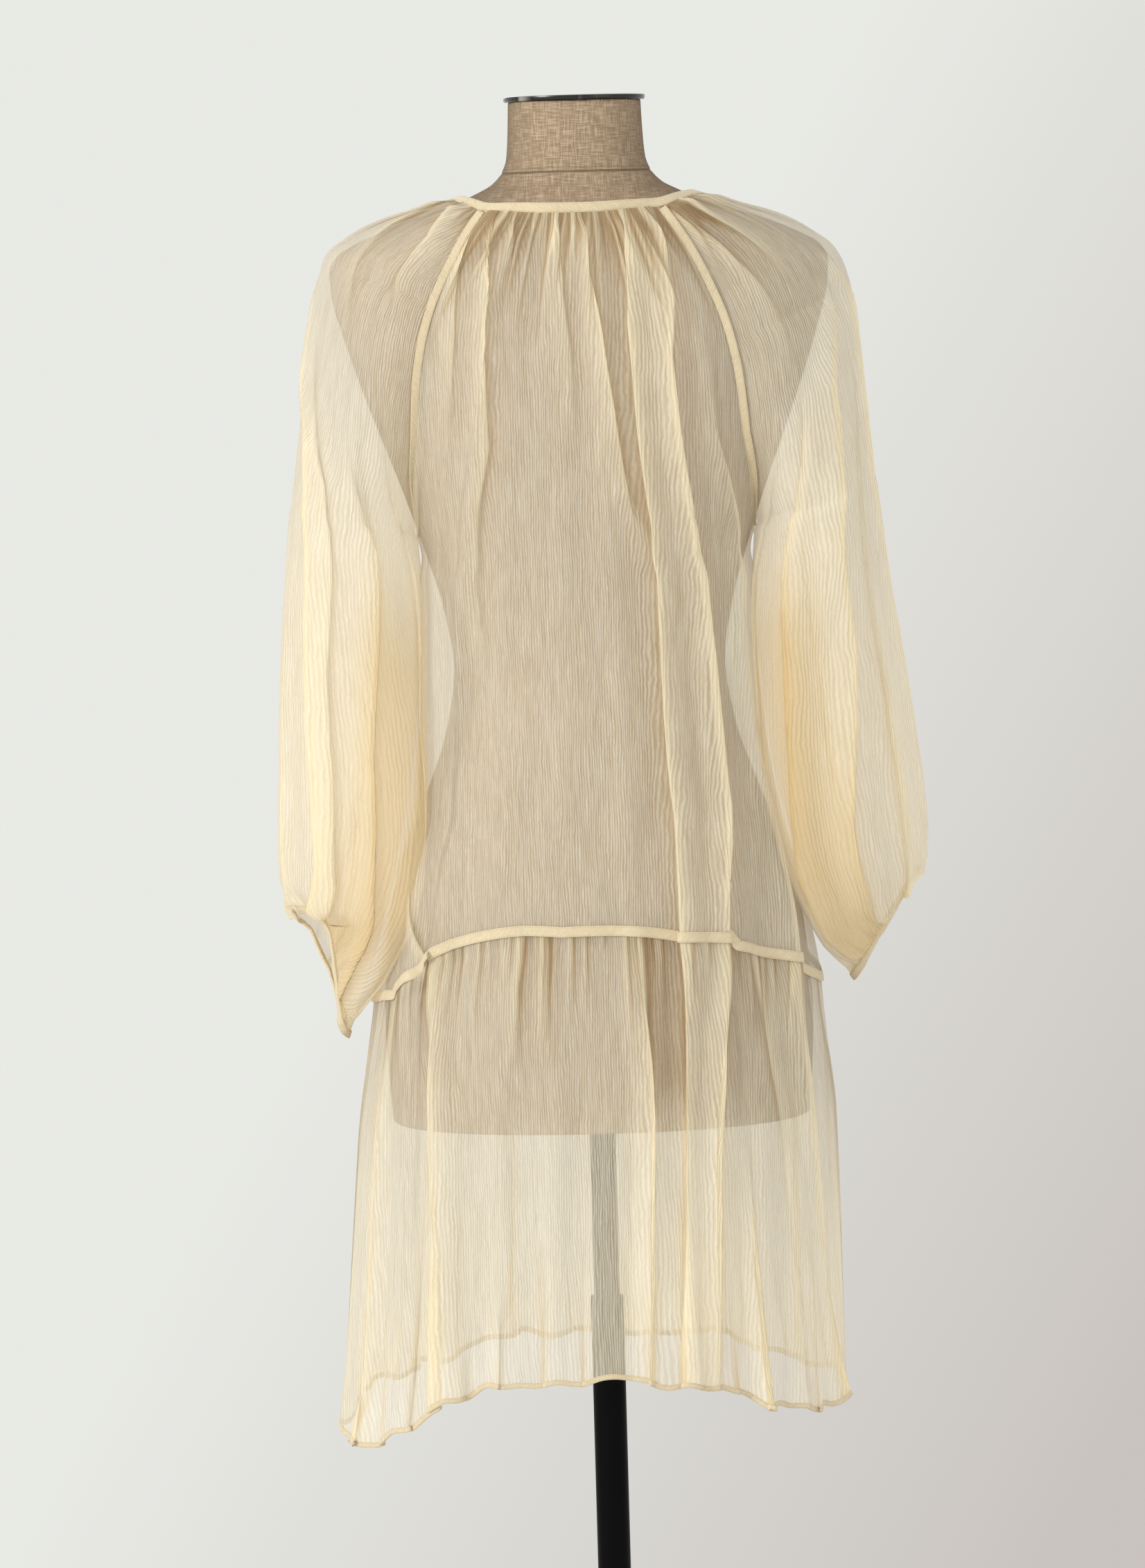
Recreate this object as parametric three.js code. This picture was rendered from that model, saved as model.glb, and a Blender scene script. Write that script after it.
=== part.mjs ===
// A sheer long-sleeve tunic worn by a linen-covered dress form on a telescopic stand.
// Units are millimetres. +Z is up, and the origin is on the floor under the pole.
// -Y is the wearer's back, +Y the front, -X the wearer's left and +X the right.
import * as THREE from "three";

const { lerp, clamp } = THREE.MathUtils;

// ---- Driving dimensions ----

const stand = {
  baseRadius: 165, // round foot plate
  baseThickness: 10,
  baseEdgeRadius: 3,
  lowerTubeRadius: 13,
  lowerTubeBore: 10.5,
  lowerTubeTop: 557,
  upperTubeRadius: 10,
  upperTubeBottom: 250, // hidden in the lower tube
  upperTubeInForm: 60, // length of the tube inside the form's socket
  sides: 24,
  plateSides: 64,
};

const form = {
  bottom: 702,
  neckTop: 1495,
  roundness: 2.25, // superellipse exponent of each section, 2 is an ellipse
  capRadius: 55,
  capThickness: 4,
  socketPlay: 0.4, // round the upper tube
  around: 36,
};
const seatGap = 0.3; // between hard pieces that rest on each other

const cloth = {
  thickness: 1.2, // wall of each cut piece
  seamGap: 0.5, // free space at each seam
  ease: 1.6, // least distance from the form to the inside of the cloth
  neckBinding: 8, // finished widths of the bias strips
  raglanBinding: 8,
  tierTape: 8,
  cuffBinding: 6,
  hemRoll: 4.5,
  stripThickness: 1,
  tapeGap: 0.5, // free space under the tape, and under the raglan bindings where the cloth twists more
  raglanStripGap: 1.45,
  edgeGap: 0.8, // free space between a piece and the strip on its edge
  raglanGap: 0.8, // each side of a raglan seam, where the walls meet at an angle
};

const underarmZ = 1155; // where the raglan seams end and the side seams start
const tierSeam = { centreZ: 863, sideZ: 812 }; // arched seam between body and hem tier
const hem = { backZ: 525, frontZ: 503, sideZ: 474 };
const neckline = { backZ: 1405, backSeamZ: 1411, frontZ: 1383, frontSeamZ: 1402 };

// Cross-sections of the dress form, from the neck down.
const formSections = table("z half back front", [
  [1495, 51.5, 51.5, 51.5],
  [1470, 52.5, 52.5, 52.5],
  [1452, 54, 53.5, 53],
  [1441, 58, 56, 54],
  [1432, 66, 60, 56],
  [1425, 79, 65, 59],
  [1418, 95, 69, 62],
  [1410, 119, 74, 66],
  [1400, 148, 79, 69],
  [1390, 171, 84, 72],
  [1380, 188, 88, 75],
  [1368, 194, 92, 79],
  [1350, 193, 97, 84],
  [1320, 185.5, 103, 95],
  [1290, 176, 107, 107],
  [1250, 162, 108, 121],
  [1199, 143, 103, 127],
  [1155, 128, 95, 118],
  [1100, 112, 83, 100],
  [1058, 106, 78, 90],
  [1010, 113, 86, 93],
  [960, 130, 101, 100],
  [900, 152, 115, 106],
  [840, 164, 121, 108],
  [780, 168, 121, 106],
  [702, 164, 115, 100],
]);

// How far the cloth hangs out from the pole's axis on each side. Higher up it follows the form.
const hangSections = table("z left right back front", [
  [1340, 0, 0, 100, 90],
  [1300, 0, 0, 111, 108],
  [1250, 0, 0, 114, 124],
  [1200, 0, 0, 116, 132],
  [1155, 132, 132, 118, 134],
  [1100, 129, 129, 120, 135],
  [1030, 130, 132, 123, 137],
  [960, 136, 141, 126, 139],
  [900, 145, 156, 129, 141],
  [860, 154, 166, 131, 143],
  [800, 169, 175, 134, 145],
  [709, 181, 178, 138, 148],
  [616, 188, 178, 142, 151],
  [523, 196, 178, 146, 154],
  [450, 204, 182, 149, 157],
]);

// The raglan seams, as distances from the middle of the back and of the front.
const raglanSeams = table("z back front", [
  [1411, 72, 70],
  [1401, 80, 76],
  [1385, 91, 85],
  [1368, 101, 94],
  [1350, 110, 102],
  [1332, 117, 109],
  [1310, 123, 116],
  [1280, 128, 123],
  [1240, 131.5, 129],
  [1200, 135, 134],
  [1155, 131.5, 131.5],
]);

// Soft upright folds. Each runs from x at the top of its piece to x at the bottom, and stands out by height.
const backFolds = table("topX bottomX width top bottom", [
  [-83, -140, 11, 3, 7],
  [-64, -121, 10, 5, 6],
  [-48, -74, 12, 4, 2],
  [-14, -22, 12, 3, 1],
  [12, 28, 10, 4, 3],
  [34, 74, 13, 6, 11],
  [52, 104, 13, 6, 10],
  [80, 142, 12, 3, 8],
]);
const frontFolds = table("topX bottomX width top bottom", [
  [-76, -138, 12, 3, 8],
  [-52, -96, 13, 5, 9],
  [-27, -52, 12, 5, 6],
  [0, -4, 11, 3, 4],
  [25, 46, 12, 5, 7],
  [50, 92, 13, 5, 10],
  [75, 136, 12, 3, 8],
]);
const backTierFolds = table("topX bottomX width top bottom", [
  [-170, -192, 12, 4, 14],
  [-146, -160, 12, 3, 10],
  [-118, -122, 12, 4, 14],
  [-70, -84, 13, 3, 5],
  [-34, -36, 12, 3, 5],
  [6, -2, 14, 2, 4],
  [40, 38, 11, 5, 12],
  [66, 62, 11, 5, 11],
  [94, 88, 12, 4, 12],
  [122, 117, 12, 4, 12],
  [148, 145, 12, 4, 12],
  [172, 168, 11, 3, 12],
]);
const frontTierFolds = table("topX bottomX width top bottom", [
  [-165, -180, 12, 4, 13],
  [-128, -140, 13, 4, 12],
  [-92, -98, 13, 4, 10],
  [-55, -60, 13, 3, 9],
  [-18, -20, 13, 3, 8],
  [20, 22, 13, 3, 9],
  [58, 60, 13, 4, 10],
  [95, 96, 13, 4, 11],
  [130, 132, 13, 4, 12],
  [162, 162, 12, 4, 13],
]);

// Sections of each sleeve from the neck to the cuff. Above the underarm the inner edge follows the raglan
// seams at heights seamBack and seamFront. Below it the seam runs down the tube at innerX, innerZ.
// depth is half the size from back to front, and tilt raises the back of a section over its front.
const sleeveColumns = "v seamBack seamFront outerX outerZ depth innerX innerY innerZ tilt";
const rightSleeve = table(sleeveColumns, [
  [0.0, 1411, 1402, 99, 1420, 56, 0, 0, 0, 0],
  [0.05, 1400, 1390, 124, 1411, 62, 0, 0, 0, 0],
  [0.1, 1386, 1374, 152, 1402, 68, 0, 0, 0, 0],
  [0.15, 1370, 1356, 178, 1391, 75, 0, 0, 0, 0],
  [0.2, 1350, 1336, 197, 1378, 82, 0, 0, 0, 0],
  [0.25, 1324, 1312, 207, 1359, 87, 0, 0, 0, 0],
  [0.31, 1290, 1282, 213, 1330, 90, 0, 0, 0, 0],
  [0.37, 1250, 1246, 217, 1288, 91, 0, 0, 0, 0],
  [0.43, 1207, 1206, 221, 1236, 89, 0, 0, 0, 0],
  [0.46, 1183, 1183, 224, 1208, 88, 0, 0, 0, 0],
  [0.475, 1168, 1168, 226, 1193, 87, 0, 0, 0, 0],
  [0.49, 1155, 1155, 228, 1178, 86, 136, 0, 1155, 0],
  [0.58, 0, 0, 237, 1098, 80, 139, -4, 1075, 0],
  [0.67, 0, 0, 250, 1016, 75, 143, -9, 994, 0],
  [0.76, 0, 0, 258, 955, 68, 156, -13, 915, 0],
  [0.85, 0, 0, 260, 917, 57, 176, -13, 853, 0.03],
  [0.93, 0, 0, 259, 899, 43, 189, -10, 822, 0.08],
  [1.0, 0, 0, 255, 892, 30, 198, -8, 808, 0.1],
]);
const leftSleeve = table(sleeveColumns, [
  [0.0, 1411, 1402, 99, 1420, 56, 0, 0, 0, 0],
  [0.05, 1400, 1390, 124, 1411, 62, 0, 0, 0, 0],
  [0.1, 1386, 1374, 152, 1402, 68, 0, 0, 0, 0],
  [0.15, 1370, 1356, 178, 1391, 75, 0, 0, 0, 0],
  [0.2, 1350, 1336, 196, 1378, 82, 0, 0, 0, 0],
  [0.25, 1324, 1312, 202, 1357, 87, 0, 0, 0, 0],
  [0.31, 1290, 1282, 207, 1325, 90, 0, 0, 0, 0],
  [0.37, 1250, 1246, 214, 1280, 91, 0, 0, 0, 0],
  [0.43, 1207, 1206, 221, 1230, 89, 0, 0, 0, 0],
  [0.46, 1183, 1183, 225, 1203, 88, 0, 0, 0, 0],
  [0.475, 1168, 1168, 228, 1189, 87, 0, 0, 0, 0],
  [0.49, 1155, 1155, 230, 1175, 86, 136, 0, 1155, 0],
  [0.58, 0, 0, 238, 1090, 80, 139, -4, 1070, 0],
  [0.67, 0, 0, 244, 1002, 75, 144, -9, 986, 0],
  [0.76, 0, 0, 246, 936, 68, 159, -14, 898, 0.08],
  [0.85, 0, 0, 246, 898, 58, 176, -18, 832, 0.22],
  [0.93, 0, 0, 243, 878, 45, 189, -22, 793, 0.48],
  [1.0, 0, 0, 240, 867, 32, 195, -24, 774, 0.7],
]);

// Shallow flutes round the lower sleeve. They are fullest halfway between underarm and cuff.
const flutes = { count: 7, height: 4.5, twist: 2, fullness: 4 };

const foldTaper = 10; // how sharply the folds die out at a piece's edges
const gatherFade = 3; // the tier leaves the shape of the seam within a third of its length
const underarmTurn = 8; // how late the sleeve's inner edge moves off the body's side

// Facets across each piece, and down the parts that no table divides.
const grid = { panelColumns: 24, panelRowsBelowUnderarm: 5, tierRows: 4, sleeveColumns: 20 };

// ---- Tables and curves ----

// Names the columns of a short table: one object for each row.
function table(columns, rows) {
  const names = columns.split(" ");
  return rows.map((row) => Object.fromEntries(names.map((name, i) => [name, row[i]])));
}

// The value of a column at a place along the key column, on a smooth curve through the rows.
function along(rows, key, at, column) {
  const down = rows[0][key] > rows[rows.length - 1][key];
  const sorted = down ? [...rows].reverse() : rows;
  const clamped = clamp(at, sorted[0][key], sorted[sorted.length - 1][key]);
  let i = 0;
  while (i < sorted.length - 2 && clamped > sorted[i + 1][key]) i++;
  const slope = (a, b) => (sorted[b][column] - sorted[a][column]) / (sorted[b][key] - sorted[a][key]);
  const step = slope(i, i + 1);
  const tangent = (k) => {
    if (k === 0 || k === sorted.length - 1) return step;
    const before = slope(k - 1, k);
    const after = slope(k, k + 1);
    return before * after <= 0 ? 0 : (2 * before * after) / (before + after);
  };
  const width = sorted[i + 1][key] - sorted[i][key];
  const s = (clamped - sorted[i][key]) / width;
  const [p0, p1] = [sorted[i][column], sorted[i + 1][column]];
  const [m0, m1] = [tangent(i) * width, tangent(i + 1) * width];
  const s2 = s * s;
  const s3 = s2 * s;
  return (2 * s3 - 3 * s2 + 1) * p0 + (s3 - 2 * s2 + s) * m0 + (3 * s2 - 2 * s3) * p1 + (s3 - s2) * m1;
}

const smooth = (t) => THREE.MathUtils.smoothstep(t, 0, 1);
const spread = (from, to, steps) => Array.from({ length: steps + 1 }, (_, i) => lerp(from, to, i / steps));
const vec = (x, y, z) => new THREE.Vector3(x, y, z);

// A point on a superellipse. The angle starts at -Y and turns towards +X.
function onSection(half, depth, angle) {
  const power = 2 / form.roundness;
  const s = Math.sin(angle);
  const c = Math.cos(angle);
  return [half * Math.sign(s) * Math.abs(s) ** power, -depth * Math.sign(c) * Math.abs(c) ** power];
}

// ---- Closed solids from surfaces ----

// Builds a closed mesh from rows of points that make rings, with the first and last row closed by a fan.
function ringSolid(rows, topCentre, bottomCentre) {
  const count = rows[0].length;
  const points = rows.flat();
  const faces = [];
  for (let r = 0; r < rows.length - 1; r++)
    for (let k = 0; k < count; k++) {
      const a = r * count + k;
      const b = r * count + ((k + 1) % count);
      faces.push([a, a + count, b + count], [a, b + count, b]);
    }
  const top = points.push(topCentre) - 1;
  const bottom = points.push(bottomCentre) - 1;
  const last = (rows.length - 1) * count;
  for (let k = 0; k < count; k++) {
    const next = (k + 1) % count;
    faces.push([top, k, next], [bottom, last + next, last + k]);
  }
  return geometryOf(points, faces);
}

// A net of points on a cut piece, row by row from its top edge. Each row runs from left to right as seen from
// outside. lifted gives a point moved out of the garment by a distance.
function net(rows) {
  const lastRow = rows.length - 1;
  const lastColumn = rows[0].length - 1;
  const normal = (i, j) => {
    const across = rows[j][Math.min(i + 1, lastColumn)].clone().sub(rows[j][Math.max(i - 1, 0)]);
    const down = rows[Math.min(j + 1, lastRow)][i].clone().sub(rows[Math.max(j - 1, 0)][i]);
    return down.cross(across).normalize();
  };
  const lifted = (i, j, distance) => rows[j][i].clone().addScaledVector(normal(i, j), distance);
  return { rows, lastRow, lastColumn, normal, lifted };
}

// A closed wall between two distances from a net.
function wall({ rows, lastRow, lastColumn, lifted }, inside = 0, outside = cloth.thickness) {
  const layer = (distance) => rows.flatMap((row, j) => row.map((_, i) => lifted(i, j, distance)));
  const size = rows.length * rows[0].length;
  const index = (i, j, side) => side * size + j * (lastColumn + 1) + i;
  const faces = [];
  const quad = (a, b, c, d) => faces.push([a, b, c], [a, c, d]);
  for (let j = 0; j < lastRow; j++)
    for (let i = 0; i < lastColumn; i++) {
      quad(index(i, j, 1), index(i, j + 1, 1), index(i + 1, j + 1, 1), index(i + 1, j, 1));
      quad(index(i, j, 0), index(i + 1, j, 0), index(i + 1, j + 1, 0), index(i, j + 1, 0));
    }
  for (let i = 0; i < lastColumn; i++) {
    quad(index(i, 0, 0), index(i, 0, 1), index(i + 1, 0, 1), index(i + 1, 0, 0));
    quad(index(i, lastRow, 1), index(i, lastRow, 0), index(i + 1, lastRow, 0), index(i + 1, lastRow, 1));
  }
  for (let j = 0; j < lastRow; j++) {
    quad(index(0, j, 0), index(0, j + 1, 0), index(0, j + 1, 1), index(0, j, 1));
    const end = lastColumn;
    quad(index(end, j, 1), index(end, j + 1, 1), index(end, j + 1, 0), index(end, j, 0));
  }
  return geometryOf([...layer(inside), ...layer(outside)], faces);
}

// Lays a net on a surface(u, v). At each row it stops short of both side edges by a gap.
function netOn(surface, [first, last], columns, rowPlaces, gapAt) {
  const step = 0.005; // a short way in from an edge, to measure the surface there
  return net(rowPlaces.map((v) => {
    const speed = (edge, inward) => surface(edge, v).distanceTo(surface(edge + inward, v)) / inward;
    const inset = (edge, inward) => gapAt(v) / speed(edge, inward);
    const [from, to] = [first + inset(first, step), last + inset(last, -step)];
    return spread(from, to, columns).map((u) => surface(u, v));
  }));
}

function geometryOf(points, faces) {
  const geometry = new THREE.BufferGeometry();
  geometry.setAttribute("position", new THREE.Float32BufferAttribute(points.flatMap((p) => p.toArray()), 3));
  geometry.setIndex(faces.flat());
  geometry.computeVertexNormals();
  return geometry;
}

// ---- The tunic's surfaces ----

// Half-extents of the body cloth at a height: the form plus ease, or the hanging line where that is wider.
function bodyExtents(z) {
  const follow = (column) => along(formSections, "z", z, column) + cloth.ease;
  const hang = (column) => along(hangSections, "z", z, column);
  const above = z > underarmZ;
  return {
    left: above ? follow("half") : Math.max(follow("half"), hang("left")),
    right: above ? follow("half") : Math.max(follow("half"), hang("right")),
    back: Math.max(follow("back"), hang("back")),
    front: Math.max(follow("front"), hang("front")),
  };
}

// The angle from the middle of the panel at which its section reaches x.
function angleAt(x, half) {
  return Math.asin(clamp(Math.abs(x) / half, 0, 1) ** (form.roundness / 2)) * Math.sign(x);
}

// Height of the soft folds at a place on a panel. drop runs from 0 at its top to 1 at its bottom.
function foldHeight(folds, x, drop) {
  return folds.reduce((sum, fold) => {
    const centre = lerp(fold.topX, fold.bottomX, drop);
    return sum + lerp(fold.top, fold.bottom, drop) * Math.exp(-(((x - centre) / fold.width) ** 2));
  }, 0);
}

// A body or tier panel. u runs over -1 to 1, from left to right as seen from outside, and v over 0 to 1 down.
// The folds die out at the side edges, so that neighbouring pieces meet there.
function panelSurface({ face, topZ, bottomZ, folds, gatheredTo }) {
  const sign = face === "back" ? 1 : -1;
  return (u, v) => {
    const z = lerp(topZ(u), bottomZ(u), v);
    const extents = bodyExtents(z);
    const half = sign * u < 0 ? extents.left : extents.right;
    const seamX = z > underarmZ ? Math.min(along(raglanSeams, "z", z, face), half) : half;
    const angle = sign * u * angleAt(seamX, half);
    const [x, y] = onSection(half, extents[face], angle);
    const own = foldHeight(folds, x, v);
    const seam = gatheredTo ? foldHeight(gatheredTo, x, 1) : own;
    const bump = lerp(seam, own, smooth(v * gatherFade)) * (1 - Math.abs(u) ** foldTaper);
    const out = vec(x / half ** 2, y / extents[face] ** 2, 0).normalize();
    return vec(x + out.x * bump, sign * (y + out.y * bump), z);
  };
}

const quarterTurn = Math.PI / 2;
const arch = (centre, side) => (u) =>
  lerp(centre, side, Math.sin(clamp(Math.abs(u), 0, 1) * quarterTurn) ** 2);
const seamLine = arch(tierSeam.centreZ, tierSeam.sideZ);
const bodyBottom = (u) => seamLine(u) + cloth.seamGap / 2;
const tierTop = (u) => seamLine(u) - cloth.seamGap / 2;

const panelTop = {
  back: arch(neckline.backZ, neckline.backSeamZ),
  front: arch(neckline.frontZ, neckline.frontSeamZ),
};
const hemLine = { back: arch(hem.backZ, hem.sideZ), front: arch(hem.frontZ, hem.sideZ) };
const bodyPanel = (face, folds) => panelSurface({ face, topZ: panelTop[face], bottomZ: bodyBottom, folds });
const tierPanel = (face, folds, gatheredTo) =>
  panelSurface({ face, topZ: tierTop, bottomZ: hemLine[face], folds, gatheredTo });
const surfaces = {
  back: bodyPanel("back", backFolds),
  front: bodyPanel("front", frontFolds),
  backTier: tierPanel("back", backTierFolds, backFolds),
  frontTier: tierPanel("front", frontTierFolds, frontFolds),
};

// The point where a raglan seam is at a height, on the right side.
function raglanPoint(face, z) {
  const extents = bodyExtents(z);
  const half = extents.right;
  const angle = angleAt(Math.min(along(raglanSeams, "z", z, face), half), half);
  const [x, y] = onSection(half, extents[face], angle);
  return vec(x, face === "back" ? y : -y, z);
}

// A sleeve on the right side. u runs over 0 to 1 from the back seam over the shoulder to the front seam,
// and v over 0 to 1 from the neck to the cuff.
function sleeveSurface(rows) {
  const capRows = rows.filter((row) => row.seamBack > 0);
  const tubeRows = rows.filter((row) => row.innerX > 0);
  const underarm = tubeRows[0].v;
  const clearOfBody = tubeRows[0].innerX - along(raglanSeams, "z", underarmZ, "back");
  return (u, v) => {
    const place = clamp(v, 0, 1);
    const inCap = place < underarm;
    const at = (column, from = rows) => along(from, "v", place, column);
    const outer = vec(at("outerX"), 0, at("outerZ"));
    const middle = vec(at("innerX", tubeRows), at("innerY", tubeRows), at("innerZ", tubeRows));
    const across = vec(0, -1, at("tilt")).normalize();
    let halfGap = 0;
    if (inCap) {
      const back = raglanPoint("back", at("seamBack", capRows));
      const front = raglanPoint("front", at("seamFront", capRows));
      middle.copy(back).add(front).multiplyScalar(0.5);
      across.copy(back).sub(front).normalize();
      halfGap = back.distanceTo(front) / 2;
      middle.x += clearOfBody * (place / underarm) ** underarmTurn;
    }
    const depth = Math.max(at("depth"), halfGap);
    const opening = Math.asin(clamp(halfGap / depth, 0, 1));
    const reach = outer.clone().sub(middle).divideScalar(1 + Math.cos(opening));
    const centre = outer.clone().sub(reach);
    const angle = lerp(opening, 2 * Math.PI - opening, u);
    const spoke = reach.clone().multiplyScalar(-Math.cos(angle));
    spoke.addScaledVector(across, depth * Math.sin(angle));
    const below = clamp((place - underarm) / (1 - underarm), 0, 1);
    const wave = Math.sin(Math.PI * u) ** 2 * Math.cos(flutes.count * angle + flutes.twist * place);
    const rise = flutes.height * flutes.fullness * below * (1 - place) * wave;
    return centre.add(spoke).addScaledVector(spoke.clone().normalize(), rise);
  };
}

const mirrored = (surface) => (u, v) => surface(1 - u, v).multiply(vec(-1, 1, 1));

const sleeves = { right: sleeveSurface(rightSleeve), left: mirrored(sleeveSurface(leftSleeve)) };

// ---- The nets of the cut pieces ----

// Panel rows down to the underarm lie level with the sleeve's rows, so that both sides of a seam match.
function panelRows(face) {
  const column = face === "back" ? "seamBack" : "seamFront";
  const topZ = panelTop[face](1);
  const placeOf = (z) => (topZ - z) / (topZ - bodyBottom(1));
  const shared = rightSleeve.filter((row) => row[column] > 0).map((row) => placeOf(row[column]));
  return [...shared, ...spread(shared.at(-1), 1, grid.panelRowsBelowUnderarm).slice(1)];
}

const sideGap = cloth.seamGap / 2;
const panelNet = (face) => {
  const rows = panelRows(face);
  const underarm = rows[rows.length - 1 - grid.panelRowsBelowUnderarm];
  const gapAt = (v) => (v < underarm ? cloth.raglanGap : sideGap);
  return netOn(surfaces[face], [-1, 1], grid.panelColumns, rows, gapAt);
};
const tierRows = spread(0, 1, grid.tierRows);
const tierNet = (surface) => netOn(surface, [-1, 1], grid.panelColumns, tierRows, () => sideGap);
const sleeveNet = (surface, rows) => {
  const gapAt = (v) => (rows.find((row) => row.v >= v).innerX > 0 ? sideGap : cloth.raglanGap);
  return netOn(surface, [0, 1], grid.sleeveColumns, rows.map((row) => row.v), gapAt);
};
const nets = {
  back: panelNet("back"),
  front: panelNet("front"),
  backTier: tierNet(surfaces.backTier),
  frontTier: tierNet(surfaces.frontTier),
  sleeveRight: sleeveNet(sleeves.right, rightSleeve),
  sleeveLeft: sleeveNet(sleeves.left, leftSleeve),
};

// ---- The strips that cover or finish the edges, made from the points of the pieces ----

// Three points across a seam between two pieces: [column, row] of each edge and of the next point inwards.
function acrossSeam(one, oneEdge, oneNext, other, otherEdge, otherNext, halfWidth, gap) {
  const overCloth = cloth.thickness + gap;
  const rail = (piece, edge, next) => {
    const start = piece.lifted(...edge, overCloth);
    return start.clone().add(piece.lifted(...next, overCloth).sub(start).setLength(halfWidth));
  };
  const [n1, n2] = [one.normal(...oneEdge), other.normal(...otherEdge)];
  const middle = one.lifted(...oneEdge, 0).lerp(other.lifted(...otherEdge, 0), 0.5);
  middle.addScaledVector(n1.clone().add(n2), overCloth / (1 + clamp(n1.dot(n2), 0, 1)));
  return [rail(one, oneEdge, oneNext), middle, rail(other, otherEdge, otherNext)];
}

// The binding over one raglan seam. It ends one row above the underarm.
function raglanStrip(panel, sleeve, sleeveIsRight) {
  const [column, inner] = sleeveIsRight ? [panel.lastColumn, panel.lastColumn - 1] : [0, 1];
  const [sleeveColumn, sleeveInner] = sleeveIsRight ? [0, 1] : [sleeve.lastColumn, sleeve.lastColumn - 1];
  const rowCount = panel.lastRow - grid.panelRowsBelowUnderarm;
  return net(Array.from({ length: rowCount }, (_, j) => {
    const section = acrossSeam(
      panel, [column, j], [inner, j], sleeve, [sleeveColumn, j], [sleeveInner, j],
      cloth.raglanBinding / 2, cloth.raglanStripGap,
    );
    return sleeveIsRight ? section : section.reverse();
  }));
}

// The tape over the arched seam between a body panel and its tier.
function tape(panel, tier) {
  const columns = panel.rows[0].map((_, i) =>
    acrossSeam(
      panel, [i, panel.lastRow], [i, panel.lastRow - 1], tier, [i, 0], [i, 1],
      cloth.tierTape / 2, cloth.tapeGap,
    ),
  );
  return net([0, 1, 2].map((row) => columns.map((column) => column[row])));
}

// A strip that goes on from a piece's top or bottom edge for a width.
function edgeStrip(piece, end, width) {
  const [row, inner] = end === "bottom" ? [piece.lastRow, piece.lastRow - 1] : [0, 1];
  const from = (distance) => piece.rows[row].map((point, i) => {
    const outward = point.clone().sub(piece.rows[inner][i]).normalize();
    return point.clone().addScaledVector(outward, distance);
  });
  const pair = [from(cloth.edgeGap), from(width)];
  return net(end === "bottom" ? pair : pair.reverse());
}

// ---- Parts ----

const material = (settings) => new THREE.MeshStandardMaterial(settings);
const chiffon = material({ color: 0xeee0b8, roughness: 0.85, transparent: true, opacity: 0.7 });
const bias = material({ color: 0xf0e0b4, roughness: 0.8 });
const linen = material({ color: 0xb0987b, roughness: 0.9 });
const steel = material({ color: 0xb8b8b6, roughness: 0.25, metalness: 1 });
const black = material({ color: 0x0d0d0d, roughness: 0.45 });

const part = new THREE.Group();

function add(name, geometry, finish) {
  const mesh = new THREE.Mesh(geometry, finish);
  mesh.name = name;
  part.add(mesh);
  return mesh;
}

function addForm() {
  const angles = spread(0, 2 * Math.PI, form.around).slice(0, -1);
  const ring = ({ z, half, back, front }) =>
    angles.map((angle) => vec(...onSection(half, Math.cos(angle) > 0 ? back : front, angle), z));
  const socketRadius = stand.upperTubeRadius + form.socketPlay;
  const socketTop = form.bottom + stand.upperTubeInForm;
  const socket = (z) =>
    angles.map((angle) => vec(socketRadius * Math.sin(angle), -socketRadius * Math.cos(angle), z));
  const rows = [...formSections.map(ring), socket(form.bottom), socket(socketTop)];
  add("form_torso", ringSolid(rows, vec(0, 0, form.neckTop), vec(0, 0, socketTop)), linen);
  const cap = new THREE.CylinderGeometry(form.capRadius, form.capRadius, form.capThickness, 48);
  const disc = add("form_neck_cap", cap.rotateX(Math.PI / 2), steel);
  disc.position.z = form.neckTop + seatGap + form.capThickness / 2;
}

function addStand() {
  const lathe = (profile, segments) => {
    const points = profile.map(([radius, z]) => new THREE.Vector2(radius, z));
    return new THREE.LatheGeometry(points, segments).rotateX(Math.PI / 2);
  };
  const { baseRadius, baseThickness, baseEdgeRadius } = stand;
  const plate = [
    [0, 0],
    [baseRadius, 0],
    [baseRadius, baseThickness - baseEdgeRadius],
    [baseRadius - baseEdgeRadius, baseThickness],
    [0, baseThickness],
  ];
  add("base_plate", lathe(plate, stand.plateSides), black);
  const { lowerTubeRadius, lowerTubeBore, lowerTubeTop } = stand;
  const footZ = baseThickness + seatGap;
  const tube = [
    [lowerTubeBore, footZ],
    [lowerTubeRadius, footZ],
    [lowerTubeRadius, lowerTubeTop],
    [lowerTubeBore, lowerTubeTop],
    [lowerTubeBore, footZ],
  ];
  add("pole_lower", lathe(tube, stand.sides), black);
  const { upperTubeRadius, upperTubeBottom } = stand;
  const rodTop = form.bottom + stand.upperTubeInForm - seatGap;
  const rod = [
    [0, upperTubeBottom],
    [upperTubeRadius, upperTubeBottom],
    [upperTubeRadius, rodTop],
    [0, rodTop],
  ];
  add("pole_upper", lathe(rod, stand.sides), black);
}

addForm();
addStand();

add("back_panel", wall(nets.back), chiffon);
add("front_panel", wall(nets.front), chiffon);
add("back_tier", wall(nets.backTier), chiffon);
add("front_tier", wall(nets.frontTier), chiffon);
for (const [side, sleeve] of [["left", nets.sleeveLeft], ["right", nets.sleeveRight]]) {
  add(`sleeve_${side}`, wall(sleeve), chiffon);
  add(`cuff_binding_${side}`, wall(edgeStrip(sleeve, "bottom", cloth.cuffBinding)), bias);
  for (const face of ["back", "front"]) {
    const sleeveIsRight = (face === "back") === (side === "right");
    const strip = raglanStrip(nets[face], sleeve, sleeveIsRight);
    add(`raglan_binding_${face}_${side}`, wall(strip, 0, cloth.stripThickness), bias);
  }
}

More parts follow.
